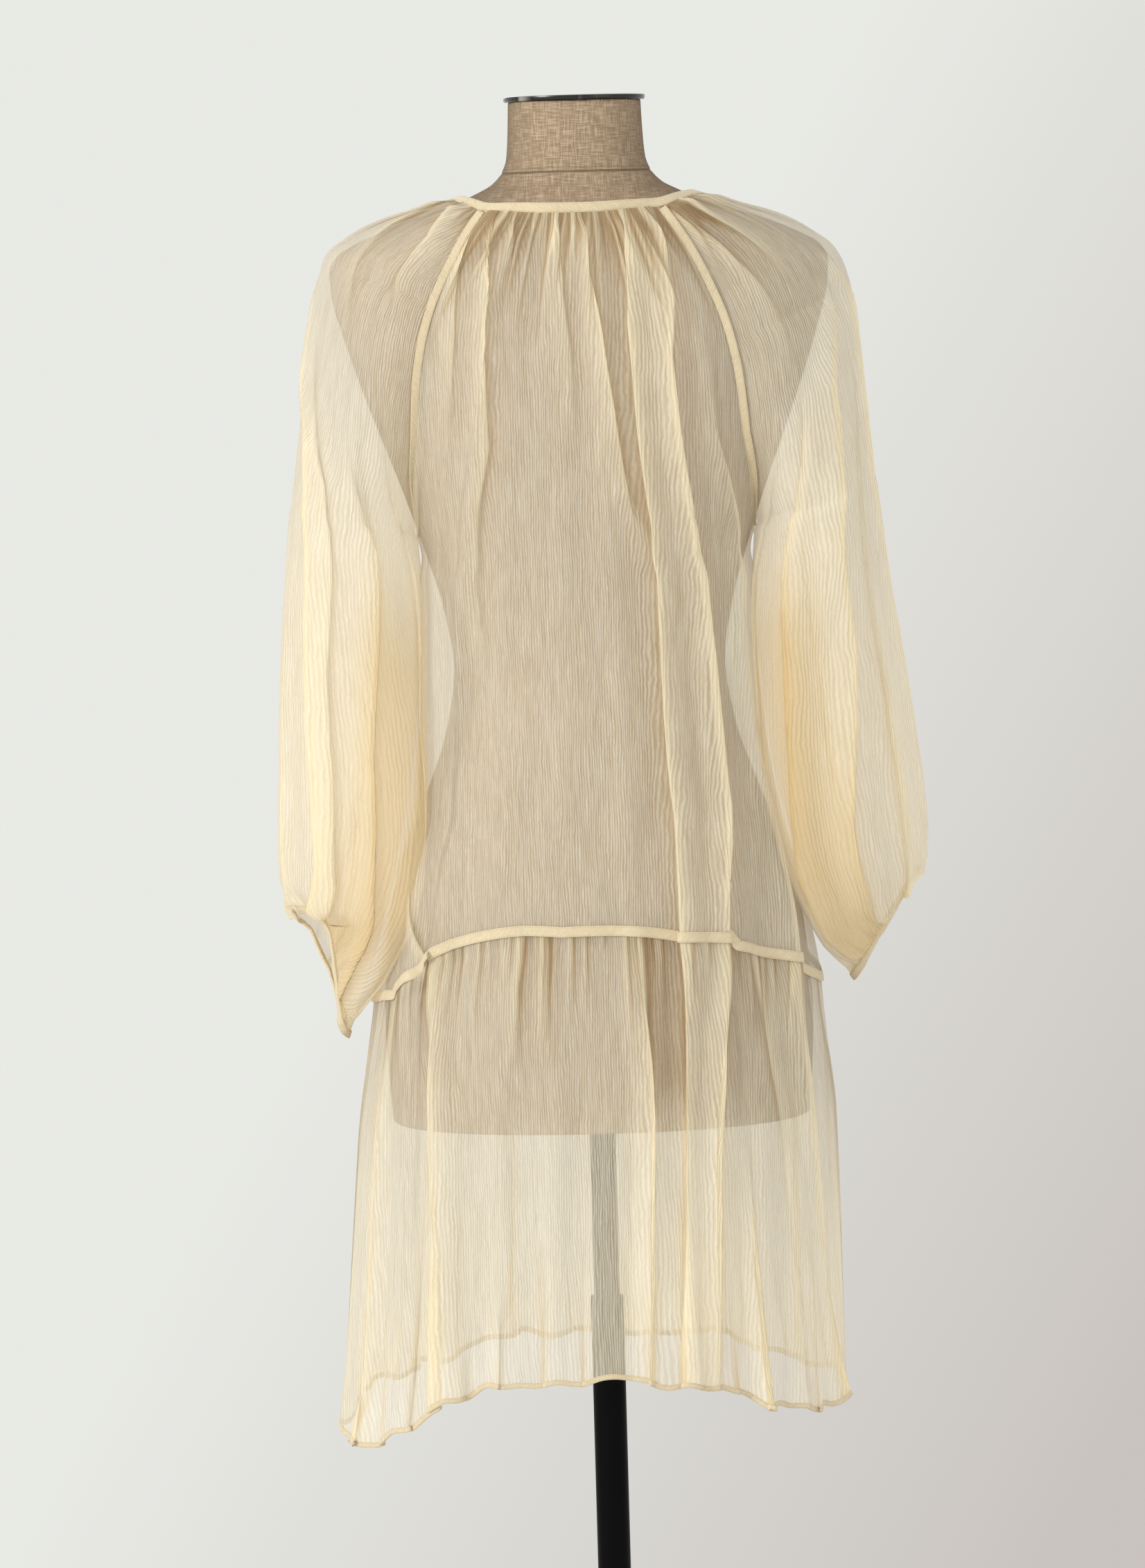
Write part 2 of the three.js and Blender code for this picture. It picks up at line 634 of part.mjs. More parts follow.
// The neck binding runs once round, over the top edges of the four pieces that meet there.
const topEdges = [nets.back, nets.sleeveRight, nets.front, nets.sleeveLeft];
const topStrips = topEdges.map((piece) => edgeStrip(piece, "top", cloth.neckBinding));
const everySecond = (strip, row) => strip.rows[row].filter((_, i) => i % 2 === 0);
const neckRow = (row) => topStrips.flatMap((strip) => everySecond(strip, row));
add("neck_binding", wall(net([neckRow(0), neckRow(1)])), bias);

add("tier_tape_back", wall(tape(nets.back, nets.backTier), 0, cloth.stripThickness), bias);
add("tier_tape_front", wall(tape(nets.front, nets.frontTier), 0, cloth.stripThickness), bias);
add("hem_binding_back", wall(edgeStrip(nets.backTier, "bottom", cloth.hemRoll)), bias);
add("hem_binding_front", wall(edgeStrip(nets.frontTier, "bottom", cloth.hemRoll)), bias);

export default part;
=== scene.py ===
import math

import bmesh
import bpy
import numpy as np
from mathutils import Matrix, Vector


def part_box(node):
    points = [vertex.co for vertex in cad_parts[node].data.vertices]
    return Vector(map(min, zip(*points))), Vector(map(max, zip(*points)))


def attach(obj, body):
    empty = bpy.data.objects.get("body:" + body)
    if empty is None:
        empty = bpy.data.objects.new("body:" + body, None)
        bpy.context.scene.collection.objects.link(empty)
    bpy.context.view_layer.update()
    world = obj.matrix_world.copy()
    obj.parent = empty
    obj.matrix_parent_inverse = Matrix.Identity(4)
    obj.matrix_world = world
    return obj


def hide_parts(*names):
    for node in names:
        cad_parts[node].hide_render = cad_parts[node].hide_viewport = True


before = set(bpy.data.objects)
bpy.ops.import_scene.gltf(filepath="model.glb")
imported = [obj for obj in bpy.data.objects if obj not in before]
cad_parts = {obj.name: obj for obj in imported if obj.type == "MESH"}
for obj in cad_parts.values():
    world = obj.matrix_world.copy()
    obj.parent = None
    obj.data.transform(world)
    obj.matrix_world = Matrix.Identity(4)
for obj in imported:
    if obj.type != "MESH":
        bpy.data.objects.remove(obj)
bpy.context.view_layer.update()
print("frame loaded")

# ---- camera and light ----

viewSettings = {
    "place": (-0.016, -5.0, 1.40),
    "aim": (-0.016, 0.0, 0.963),
    "roll": 1.6,  # degrees, the top leans left
    "lens": 147.0,
}
lightSettings = {
    # name: place, size, watts, colour
    "keyLeft": ((-4.0, -3.0, 2.8), 1.8, 146, (1.0, 0.99, 0.97)),
    "fillRight": ((3.2, -3.4, 1.6), 2.4, 10, (1.0, 0.97, 0.94)),
    "behind": ((-1.2, 3.6, 2.6), 2.0, 12, (1.0, 0.99, 0.97)),
}
roomSettings = {
    "light": (1.0, 0.995, 0.98),
    "strength": 0.92,
    "pale": (0.81, 0.82, 0.78),
    "shaded": (0.585, 0.55, 0.525),
    "fallRight": 3.2,  # how fast the wall darkens to the right, and upwards
    "fallUp": -1.9,
    "fallSpan": (0.1, 0.62),
}
lampAim = (0, 0, 1.05)


def makeCamera():
    camera = bpy.data.objects.new("camera", bpy.data.cameras.new("camera"))
    bpy.context.scene.collection.objects.link(camera)
    place, aim = Vector(viewSettings["place"]), Vector(viewSettings["aim"])
    turn = (aim - place).to_track_quat("-Z", "Y").to_matrix().to_4x4()
    roll = Matrix.Rotation(math.radians(-viewSettings["roll"]), 4, "Z")
    camera.matrix_world = Matrix.Translation(place) @ turn @ roll
    camera.data.lens = viewSettings["lens"]
    camera.data.sensor_width = 36
    bpy.context.scene.camera = camera


def makeLights():
    for name, (place, size, watts, colour) in lightSettings.items():
        lamp = bpy.data.lights.new(name, "AREA")
        lamp.shape, lamp.size, lamp.energy, lamp.color = "DISK", size, watts, colour
        holder = bpy.data.objects.new(name, lamp)
        bpy.context.scene.collection.objects.link(holder)
        holder.location = place
        aim = Vector(lampAim) - Vector(place)
        holder.rotation_euler = aim.to_track_quat("-Z", "Y").to_euler()
        holder.visible_camera = False


def makeRoom():
    world = bpy.data.worlds.new("studio")
    bpy.context.scene.world = world
    world.use_nodes = True
    tree = world.node_tree
    tree.nodes.clear()
    out = tree.nodes.new("ShaderNodeOutputWorld")
    lit, seen = tree.nodes.new("ShaderNodeBackground"), tree.nodes.new("ShaderNodeBackground")
    lit.inputs["Color"].default_value = (*roomSettings["light"], 1)
    lit.inputs["Strength"].default_value = roomSettings["strength"]
    # the pale wall falls off towards the lower right
    coords, split = tree.nodes.new("ShaderNodeTexCoord"), tree.nodes.new("ShaderNodeSeparateXYZ")
    fall = tree.nodes.new("ShaderNodeMath")
    fall.operation = "MULTIPLY_ADD"
    fall.inputs[1].default_value = roomSettings["fallRight"]
    reach = tree.nodes.new("ShaderNodeMath")
    reach.operation = "MULTIPLY_ADD"
    reach.inputs[1].default_value, reach.inputs[2].default_value = roomSettings["fallUp"], 0.0
    ramp = tree.nodes.new("ShaderNodeValToRGB")
    for stop, colour, place in zip(ramp.color_ramp.elements, ("pale", "shaded"), roomSettings["fallSpan"]):
        stop.color, stop.position = (*roomSettings[colour], 1), place
    rays, mix = tree.nodes.new("ShaderNodeLightPath"), tree.nodes.new("ShaderNodeMixShader")
    link = tree.links.new
    link(coords.outputs["Generated"], split.inputs[0])
    link(split.outputs["Z"], reach.inputs[0])
    link(split.outputs["X"], fall.inputs[0])
    link(reach.outputs[0], fall.inputs[2])
    link(fall.outputs[0], ramp.inputs["Fac"])
    link(ramp.outputs["Color"], seen.inputs["Color"])
    link(rays.outputs["Is Camera Ray"], mix.inputs["Fac"])
    link(lit.outputs[0], mix.inputs[1])
    link(seen.outputs[0], mix.inputs[2])
    link(mix.outputs[0], out.inputs["Surface"])
    scene = bpy.context.scene
    scene.view_settings.view_transform = "Standard"
    scene.view_settings.look = "None"
    scene.cycles.transparent_max_bounces = 32
    scene.cycles.max_bounces = 8
    scene.cycles.diffuse_bounces = 5


makeCamera()
makeLights()
makeRoom()
print("camera and lights set")

# ---- shader helpers ----


class Nodes:
    # short names for the nodes that the finishes share

    def __init__(self, tree):
        self.tree = tree

    def add(self, kind, **values):
        node = self.tree.nodes.new("ShaderNode" + kind)
        for name, value in values.items():
            setattr(node, name, value)
        return node

    def feed(self, socket, value):
        if isinstance(value, bpy.types.NodeSocket):
            self.tree.links.new(value, socket)
        elif value is not None:
            socket.default_value = value

    def math(self, operation, a, b=None, c=None, clamp=False):
        node = self.add("Math", operation=operation, use_clamp=clamp)
        for socket, value in zip(node.inputs, (a, b, c)):
            self.feed(socket, value)
        return node.outputs[0]

    def noise(self, vector, scale=1.0, detail=2.0, roughness=0.5):
        node = self.add("TexNoise")
        self.feed(node.inputs["Vector"], vector)
        self.feed(node.inputs["Scale"], scale)
        self.feed(node.inputs["Detail"], detail)
        self.feed(node.inputs["Roughness"], roughness)
        return node.outputs["Fac"]

    def stretch(self, vector, scale):
        node = self.add("VectorMath", operation="MULTIPLY")
        self.feed(node.inputs[0], vector)
        self.feed(node.inputs[1], scale)
        return node.outputs[0]

    def between(self, value, low, high, toLow=0.0, toHigh=1.0):
        node = self.add("MapRange")
        for socket, item in zip(node.inputs, (value, low, high, toLow, toHigh)):
            self.feed(socket, item)
        return node.outputs[0]

    def blend(self, amount, one, other, kind="MIX"):
        node = self.add("Mix", data_type="RGBA", blend_type=kind)
        self.feed(node.inputs["Factor"], amount)
        self.feed(node.inputs["A"], one)
        self.feed(node.inputs["B"], other)
        return node.outputs["Result"]

    def bump(self, height, distance, strength=1.0):
        node = self.add("Bump")
        self.feed(node.inputs["Height"], height)
        node.inputs["Distance"].default_value = distance
        node.inputs["Strength"].default_value = strength
        return node.outputs["Normal"]


def makeGroup(name, inputs, outputs):
    tree = bpy.data.node_groups.new(name, "ShaderNodeTree")
    for label, kind, value in inputs:
        socket = tree.interface.new_socket(label, in_out="INPUT", socket_type="NodeSocket" + kind)
        if value is not None:
            socket.default_value = value
    for label, kind in outputs:
        tree.interface.new_socket(label, in_out="OUTPUT", socket_type="NodeSocket" + kind)
    return tree, tree.nodes.new("NodeGroupInput"), tree.nodes.new("NodeGroupOutput")


crinkleShape = {
    # scales run across the grain and along it
    "driftScale": (60, 16, 1),
    "driftBy": 0.0055,
    "shakeScale": (330, 120, 1),
    "shakeBy": 0.0013,
    "patchAcross": 1.3,
    "patchSpan": (0.33, 0.67),
    "wave": 0.30,
    "patch": 0.46,
    "level": 0.26,
    "threadScale": (1700, 900, 1),
    "mottleScale": (55, 9, 1),
    "mottleSpan": (0.3, 0.7),
}
weaveShape = {"pitch": 0.0021, "toneSpan": (0.45, 0.72)}


def makeCrinkleGroup():
    inputs = [("Grain", "Vector", None), ("Spacing", "Float", 0.002), ("Length", "Float", 0.03)]
    outputs = [("Ridge", "Float"), ("Thread", "Float"), ("Mottle", "Float")]
    tree, given, result = makeGroup("crinkle", inputs, outputs)
    nodes = Nodes(tree)
    split = nodes.add("SeparateXYZ")
    grain = given.outputs["Grain"]
    nodes.feed(split.inputs[0], grain)
    # the ridges wander sideways, slowly and then finely, and fade in and out along their length
    drift = nodes.noise(nodes.stretch(grain, crinkleShape["driftScale"]), detail=1.0)
    shake = nodes.noise(nodes.stretch(grain, crinkleShape["shakeScale"]), detail=1.0)
    shifted = nodes.math("MULTIPLY_ADD", drift, crinkleShape["driftBy"], split.outputs[0])
    shifted = nodes.math("MULTIPLY_ADD", shake, crinkleShape["shakeBy"], shifted)
    across = nodes.math("DIVIDE", shifted, given.outputs["Spacing"])
    down = nodes.math("DIVIDE", split.outputs[1], given.outputs["Length"])
    place = nodes.add("CombineXYZ")
    nodes.feed(place.inputs[0], nodes.math("MULTIPLY", across, crinkleShape["patchAcross"]))
    nodes.feed(place.inputs[1], down)
    patch = nodes.noise(place.outputs[0], detail=2.0, roughness=0.6)
    patch = nodes.math("MULTIPLY", nodes.between(patch, *crinkleShape["patchSpan"]), crinkleShape["patch"])
    wave = nodes.math("SINE", nodes.math("MULTIPLY", across, 2 * math.pi))
    ridge = nodes.math("MULTIPLY_ADD", wave, crinkleShape["wave"], patch)
    nodes.feed(result.inputs["Ridge"], nodes.math("ADD", ridge, crinkleShape["level"], clamp=True))
    thread = nodes.noise(nodes.stretch(grain, crinkleShape["threadScale"]), detail=1.0)
    nodes.feed(result.inputs["Thread"], thread)
    mottle = nodes.noise(nodes.stretch(grain, crinkleShape["mottleScale"]), detail=3.0)
    nodes.feed(result.inputs["Mottle"], nodes.between(mottle, *crinkleShape["mottleSpan"]))
    return tree


def makeWovenGroup():
    inputs = [("Place", "Vector", None), ("Threads", "Float", 1100.0), ("Slub", "Float", 60.0)]
    outputs = [("Height", "Float"), ("Tone", "Float"), ("Dots", "Float")]
    tree, given, result = makeGroup("woven threads", inputs, outputs)
    nodes = Nodes(tree)
    split = nodes.add("SeparateXYZ")
    nodes.feed(split.inputs[0], given.outputs["Place"])
    rate = 2 * math.pi / weaveShape["pitch"]
    turns = [nodes.math("SINE", nodes.math("MULTIPLY", split.outputs[k], rate)) for k in (0, 1)]
    nodes.feed(result.inputs["Dots"], nodes.math("MULTIPLY_ADD", nodes.math("MULTIPLY", *turns), 0.5, 0.5))

    def threads(along, across):
        place = nodes.add("CombineXYZ")
        nodes.feed(place.inputs[0], nodes.math("MULTIPLY", across, given.outputs["Threads"]))
        nodes.feed(place.inputs[1], nodes.math("MULTIPLY", along, given.outputs["Slub"]))
        return nodes.noise(place.outputs[0], detail=1.0)

    warp = threads(split.outputs[1], split.outputs[0])
    weft = threads(split.outputs[0], split.outputs[1])
    height = nodes.math("ADD", warp, weft)
    nodes.feed(result.inputs["Height"], nodes.math("MULTIPLY", height, 0.5))
    upper = nodes.math("MAXIMUM", warp, weft)
    nodes.feed(result.inputs["Tone"], nodes.between(upper, *weaveShape["toneSpan"]))
    return tree


crinkleGroup = makeCrinkleGroup()
wovenGroup = makeWovenGroup()


def newFinish(name):
    finish = bpy.data.materials.new(name)
    finish.use_nodes = True
    finish.node_tree.nodes.clear()
    nodes = Nodes(finish.node_tree)
    return finish, nodes, nodes.add("OutputMaterial")


def placeGroup(nodes, tree, **values):
    node = nodes.add("Group", node_tree=tree)
    for name, value in values.items():
        nodes.feed(node.inputs[name], value)
    return node.outputs


silk = {
    "light": (0.865, 0.82, 0.69, 1),
    "deep": (0.71, 0.60, 0.41, 1),
    "glow": (0.89, 0.83, 0.65, 1),
    "butter": (0.92, 0.81, 0.54, 1),
    # painted shade: ochre is laid in a fold's recess, and brown beside folds over the form
    "ochreShade": (0.66, 0.47, 0.21, 1),
    "brown": (0.36, 0.24, 0.12, 1),
    "cover": 0.40,  # share of one layer that is thread
    "coverRidge": 0.22,
    "coverPleat": 0.20,
    "coverRecess": 0.14,
    "coverThread": 0.10,
    "coverMottle": 0.04,
    "toneMottle": 0.3,
    "tonePleat": 0.6,
    "toneRecessShade": 0.7,
    "toneShade": 0.75,
    "ridgeSpacing": 0.0019,
    "ridgeLength": 0.034,
    "ridgeHeight": 0.0007,
    "ridgeStrength": 0.9,
    "threadHeight": 0.15,
    "rough": (0.72, 0.58),  # in a valley and on a ridge
    "sheen": 0.15,
    "gloss": 0.25,
    "through": 0.22,  # share of its light that comes through
    "paler": 0.78,  # how much paler its shadows are than it is dense
}


def makeSilk():
    finish, nodes, out = newFinish("crinkled silk")
    grain = nodes.add("UVMap", uv_map="grain").outputs[0]
    crinkle = placeGroup(
        nodes, crinkleGroup, Grain=grain, Spacing=silk["ridgeSpacing"], Length=silk["ridgeLength"]
    )
    pleat, recessShade, shade = (
        nodes.add("Attribute", attribute_name=name).outputs["Fac"] for name in ("pleat", "recessShade", "shade")
    )
    dense = nodes.math("MULTIPLY_ADD", crinkle["Ridge"], silk["coverRidge"], silk["cover"])
    dense = nodes.math("MULTIPLY_ADD", pleat, silk["coverPleat"], dense)
    # where shade is painted in a recess, the cloth is also made denser
    dense = nodes.math("MULTIPLY_ADD", recessShade, silk["coverRecess"], dense)
    dense = nodes.math("MULTIPLY_ADD", crinkle["Thread"], silk["coverThread"], dense)
    dense = nodes.math("MULTIPLY_ADD", crinkle["Mottle"], silk["coverMottle"], dense, clamp=True)
    tone = nodes.blend(crinkle["Ridge"], silk["deep"], silk["light"])
    tone = nodes.blend(nodes.math("MULTIPLY", crinkle["Mottle"], silk["toneMottle"]), tone, silk["light"])
    # the recess and shade marks are painted shade; the pleat mark is the denser, yellower doubled cloth
    marks = ((pleat, "tonePleat", "butter"), (recessShade, "toneRecessShade", "ochreShade"), (shade, "toneShade", "brown"))
    for mark, amount, colour in marks:
        tone = nodes.blend(nodes.math("MULTIPLY", mark, silk[amount], clamp=True), tone, silk[colour])
    height = nodes.math("MULTIPLY_ADD", crinkle["Thread"], silk["threadHeight"], crinkle["Ridge"])
    normal = nodes.bump(height, silk["ridgeHeight"], silk["ridgeStrength"])
    face = nodes.add("BsdfPrincipled")
    nodes.feed(face.inputs["Base Color"], tone)
    nodes.feed(face.inputs["Roughness"], nodes.between(crinkle["Ridge"], 0, 1, *silk["rough"]))
    nodes.feed(face.inputs["Normal"], normal)
    face.inputs["Sheen Weight"].default_value = silk["sheen"]
    face.inputs["Specular IOR Level"].default_value = silk["gloss"]
    through = nodes.add("BsdfTranslucent")
    nodes.feed(through.inputs["Color"], nodes.blend(crinkle["Ridge"], silk["deep"], silk["glow"]))
    nodes.feed(through.inputs["Normal"], normal)
    body = nodes.add("MixShader")
    body.inputs["Fac"].default_value = silk["through"]
    nodes.feed(body.inputs[1], face.outputs[0])
    nodes.feed(body.inputs[2], through.outputs[0])
    clear = nodes.add("BsdfTransparent")
    # thin silk scatters light onwards, so its shadows are paler than it is dense
    shadowRay = nodes.add("LightPath").outputs["Is Shadow Ray"]
    dense = nodes.math("MULTIPLY", dense, nodes.math("MULTIPLY_ADD", shadowRay, -silk["paler"], 1.0))
    whole = nodes.add("MixShader")
    nodes.feed(whole.inputs["Fac"], dense)
    nodes.feed(whole.inputs[1], clear.outputs[0])
    nodes.feed(whole.inputs[2], body.outputs[0])
    nodes.feed(out.inputs["Surface"], whole.outputs[0])
    return finish


strip = {
    "light": (0.79, 0.70, 0.50, 1),
    "deep": (0.60, 0.475, 0.29, 1),
    "stitchPitch": 0.0024,
    "stitchRows": (0.13, 0.87),  # across the strip's face
    "stitchShare": 0.62,
    "stitchHalf": 0.035,
    "stitchTone": 0.6,
    "stitchDepth": -0.8,
    "spacing": 0.0011,
    "length": 0.005,
    "ridgeTone": 0.8,
    "bump": (0.00035, 0.8),
    "rough": (0.7, 0.56),
    "sheen": 0.2,
    "gloss": 0.3,
}


def makeStripSilk():
    finish, nodes, out = newFinish("folded bias strip")
    lane = nodes.add("UVMap", uv_map="grain").outputs[0]
    crinkle = placeGroup(nodes, crinkleGroup, Grain=lane, Spacing=strip["spacing"], Length=strip["length"])
    split = nodes.add("SeparateXYZ")
    nodes.feed(split.inputs[0], nodes.add("UVMap", uv_map="lane").outputs[0])
    step = nodes.math("FRACT", nodes.math("DIVIDE", split.outputs[0], strip["stitchPitch"]))
    dash = nodes.math("LESS_THAN", step, strip["stitchShare"])
    half = strip["stitchHalf"]
    rows = [nodes.math("COMPARE", split.outputs[1], place, half) for place in strip["stitchRows"]]
    stitch = nodes.math("MULTIPLY", nodes.math("MAXIMUM", *rows), dash)
    ridge = nodes.math("MULTIPLY", crinkle["Ridge"], strip["ridgeTone"])
    tone = nodes.blend(ridge, strip["deep"], strip["light"])
    tone = nodes.blend(nodes.math("MULTIPLY", stitch, strip["stitchTone"]), tone, strip["deep"])
    height = nodes.math("MULTIPLY_ADD", stitch, strip["stitchDepth"], crinkle["Ridge"])
    face = nodes.add("BsdfPrincipled")
    nodes.feed(face.inputs["Base Color"], tone)
    nodes.feed(face.inputs["Roughness"], nodes.between(crinkle["Mottle"], 0, 1, *strip["rough"]))
    nodes.feed(face.inputs["Normal"], nodes.bump(height, *strip["bump"]))
    face.inputs["Sheen Weight"].default_value = strip["sheen"]
    face.inputs["Specular IOR Level"].default_value = strip["gloss"]
    nodes.feed(out.inputs["Surface"], face.outputs[0])
    return finish


linen = {
    "light": (0.52, 0.40, 0.275, 1),
    "mid": (0.35, 0.255, 0.165, 1),
    "dark": (0.25, 0.175, 0.108, 1),
    "seam": (0.12, 0.085, 0.05, 1),
    # painted shade: edge and edgePower set how much darker the linen is painted where it turns away from view
    "edge": 0.8,  # how much darker it looks where it turns away
    "edgePower": 1.25,
    "seams": [(1.4415, 0.0008, 0.75), (1.4445, 0.0006, 0.30)],  # height, half width and darkness of each line
    "seamSag": 0.002,
    "fine": (1050.0, 85.0),  # threads and slubs
    "coarse": (420.0, 26.0),
    "cloudScale": (9, 5, 1),
    "layers": [  # what is seen, where it begins and ends, how much at most, and its colour
        ("height", 0.46, 0.66, 1.0, "light"), ("slub", 0.35, 1.0, 0.22, "light"),
        ("dots", 0.45, 1.0, 0.55, "light"), ("cloud", 0.35, 0.7, 0.16, "mid"),
    ],
    "slubHeight": 0.4,
    "dotHeight": 0.5,
    "rough": (0.3, 0.7, 0.95, 0.8),
    "bump": (0.0006, 0.7),
    "gloss": 0.2,
}


def makeLinen():
    finish, nodes, out = newFinish("form linen")
    place = nodes.add("UVMap", uv_map="grain").outputs[0]
    weave, coarse = (
        placeGroup(nodes, wovenGroup, Place=place, Threads=linen[size][0], Slub=linen[size][1])
        for size in ("fine", "coarse")
    )
    cloud = nodes.noise(nodes.stretch(place, linen["cloudScale"]), detail=3.0)
    tone = nodes.blend(weave["Tone"], linen["dark"], linen["mid"])
    seen = {"height": weave["Height"], "slub": coarse["Tone"], "dots": weave["Dots"], "cloud": cloud}
    for name, low, high, most, colour in linen["layers"]:
        tone = nodes.blend(nodes.between(seen[name], low, high, 0.0, most), tone, linen[colour])
    spot = nodes.add("SeparateXYZ")
    nodes.feed(spot.inputs[0], nodes.add("TexCoord").outputs["Object"])
    sag = nodes.math("MULTIPLY_ADD", cloud, linen["seamSag"], spot.outputs[2])
    for z, wide, dark in linen["seams"]:
        line = nodes.math("COMPARE", sag, z, wide)
        tone = nodes.blend(nodes.math("MULTIPLY", line, dark), tone, linen["seam"])
    # painted shade: the linen is blended towards the seam colour where it turns away from view
    facing = nodes.add("LayerWeight")
    facing.inputs["Blend"].default_value = 0.5
    away = nodes.math("POWER", facing.outputs["Facing"], linen["edgePower"])
    tone = nodes.blend(nodes.math("MULTIPLY", away, linen["edge"]), tone, linen["seam"])
    height = nodes.math("MULTIPLY_ADD", coarse["Height"], linen["slubHeight"], weave["Height"])
    height = nodes.math("MULTIPLY_ADD", weave["Dots"], linen["dotHeight"], height)
    face = nodes.add("BsdfPrincipled")
    nodes.feed(face.inputs["Base Color"], tone)
    nodes.feed(face.inputs["Roughness"], nodes.between(weave["Height"], *linen["rough"]))
    nodes.feed(face.inputs["Normal"], nodes.bump(height, *linen["bump"]))
    face.inputs["Specular IOR Level"].default_value = linen["gloss"]
    nodes.feed(out.inputs["Surface"], face.outputs[0])
    return finish


metal = {
    # the dark and bright colours are painted reflections of the room on the cap's rim
    "dark": (0.045, 0.042, 0.04, 1),
    "bright": (0.50, 0.50, 0.49, 1),
    "ringScale": 900.0,
    "smearScale": 38.0,
    "reflectionStreakScale": (52, 52, 1),
    "reflectionStreakSpan": (0.57, 0.72),
    "topSpan": (0.0006, 0.0002),  # below the cap's top
    "topTone": 0.7,
    "ringRough": 0.14,
    "rough": (0.3, 0.7, 0.10, 0.22),
    "bump": (0.00006, 0.4),
}
black = {
    "paint": (0.0035, 0.0035, 0.0038, 1),
    "worn": (0.016, 0.016, 0.016, 1),
    "grainScale": 900.0,
    "rubScale": (30, 30, 4),
    "wornSpan": (0.55, 0.75, 0.0, 0.5),
    "rough": (0.3, 0.7, 0.34, 0.5),
    "bump": (0.00004, 0.5),
    "gloss": 0.03,
}
floorSettings = {
    "tones": ((0.70, 0.70, 0.68, 1), (0.76, 0.76, 0.74, 1)),
    "cloudScale": 2.0,
    "rough": 0.85,
    "radius": 1.45,
    "segments": 96,
}


def makeMetal():
    finish, nodes, out = newFinish("polished cap metal")
    place = nodes.add("TexCoord").outputs["Object"]
    split = nodes.add("SeparateXYZ")
    nodes.feed(split.inputs[0], place)
    radius = nodes.math("SQRT", nodes.math("ADD",
        nodes.math("MULTIPLY", split.outputs[0], split.outputs[0]),
        nodes.math("MULTIPLY", split.outputs[1], split.outputs[1])))
    rings = nodes.add("CombineXYZ")
    for slot, length in zip(rings.inputs, (radius, split.outputs[2])):
        nodes.feed(slot, nodes.math("MULTIPLY", length, metal["ringScale"]))
    lathed = nodes.noise(rings.outputs[0], detail=2.0)
    smear = nodes.noise(place, scale=metal["smearScale"], detail=3.0)
    reflectionTone = nodes.noise(nodes.stretch(place, metal["reflectionStreakScale"]), detail=1.0)
    reflectionTone = nodes.between(reflectionTone, *metal["reflectionStreakSpan"])
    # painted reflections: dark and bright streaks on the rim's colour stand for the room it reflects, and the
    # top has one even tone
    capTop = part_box("form_neck_cap")[1][2]
    top = nodes.between(split.outputs[2], *(capTop - below for below in metal["topSpan"]))
    rimOnly = nodes.math("MULTIPLY", reflectionTone, nodes.math("SUBTRACT", 1.0, top))
    reflectionTone = nodes.math("MAXIMUM", rimOnly, nodes.math("MULTIPLY", top, metal["topTone"]))
    face = nodes.add("BsdfPrincipled")
    nodes.feed(face.inputs["Base Color"], nodes.blend(reflectionTone, metal["dark"], metal["bright"]))
    nodes.feed(face.inputs["Metallic"], 1.0)
    rough = nodes.math("MULTIPLY_ADD", lathed, metal["ringRough"], nodes.between(smear, *metal["rough"]))
    nodes.feed(face.inputs["Roughness"], rough)
    nodes.feed(face.inputs["Normal"], nodes.bump(lathed, *metal["bump"]))
    nodes.feed(out.inputs["Surface"], face.outputs[0])
    return finish


def makeBlack():
    finish, nodes, out = newFinish("black satin paint")
    place = nodes.add("TexCoord").outputs["Object"]
    grain = nodes.noise(place, scale=black["grainScale"], detail=2.0)
    rub = nodes.noise(nodes.stretch(place, black["rubScale"]), detail=4.0, roughness=0.6)
    face = nodes.add("BsdfPrincipled")
    worn = nodes.between(rub, *black["wornSpan"])
    nodes.feed(face.inputs["Base Color"], nodes.blend(worn, black["paint"], black["worn"]))
    nodes.feed(face.inputs["Roughness"], nodes.between(rub, *black["rough"]))
    face.inputs["Specular IOR Level"].default_value = black["gloss"]
    nodes.feed(face.inputs["Normal"], nodes.bump(grain, *black["bump"]))
    nodes.feed(out.inputs["Surface"], face.outputs[0])
    return finish


def makeFloorFinish():
    finish, nodes, out = newFinish("studio floor")
    place = nodes.add("TexCoord").outputs["Object"]
    cloud = nodes.noise(place, scale=floorSettings["cloudScale"], detail=3.0)
    face = nodes.add("BsdfPrincipled")
    nodes.feed(face.inputs["Base Color"], nodes.blend(cloud, *floorSettings["tones"]))
    face.inputs["Roughness"].default_value = floorSettings["rough"]
    nodes.feed(out.inputs["Surface"], face.outputs[0])
    return finish


silkFinish, stripFinish, linenFinish = makeSilk(), makeStripSilk(), makeLinen()
metalFinish, blackFinish = makeMetal(), makeBlack()
print("finishes made")

# ---- tables and curves, in millimetres where they are written ----


def table(columns, rows, plain=""):
    values = dict(zip(columns.split(), np.array(rows, float).T))
    return {name: row if name in plain.split() else row / 1000 for name, row in values.items()}


formSections = table("z half back front", [
    (1495, 51.5, 51.5, 51.5), (1470, 52.5, 52.5, 52.5), (1452, 54, 53.5, 53), (1441, 58, 56, 54),
    (1432, 66, 60, 56), (1425, 79, 65, 59), (1418, 95, 69, 62), (1410, 119, 74, 66),
    (1400, 148, 79, 69), (1390, 171, 84, 72), (1380, 188, 88, 75), (1368, 194, 92, 79),
    (1350, 193, 97, 84), (1320, 185.5, 103, 95), (1290, 176, 107, 107), (1250, 162, 108, 121),
    (1199, 143, 103, 127), (1155, 128, 95, 118), (1100, 112, 83, 100), (1058, 106, 78, 90),
    (1010, 113, 86, 93), (960, 130, 101, 100), (900, 152, 115, 106), (840, 164, 121, 108),
    (780, 168, 121, 106), (702, 164, 115, 100),
])
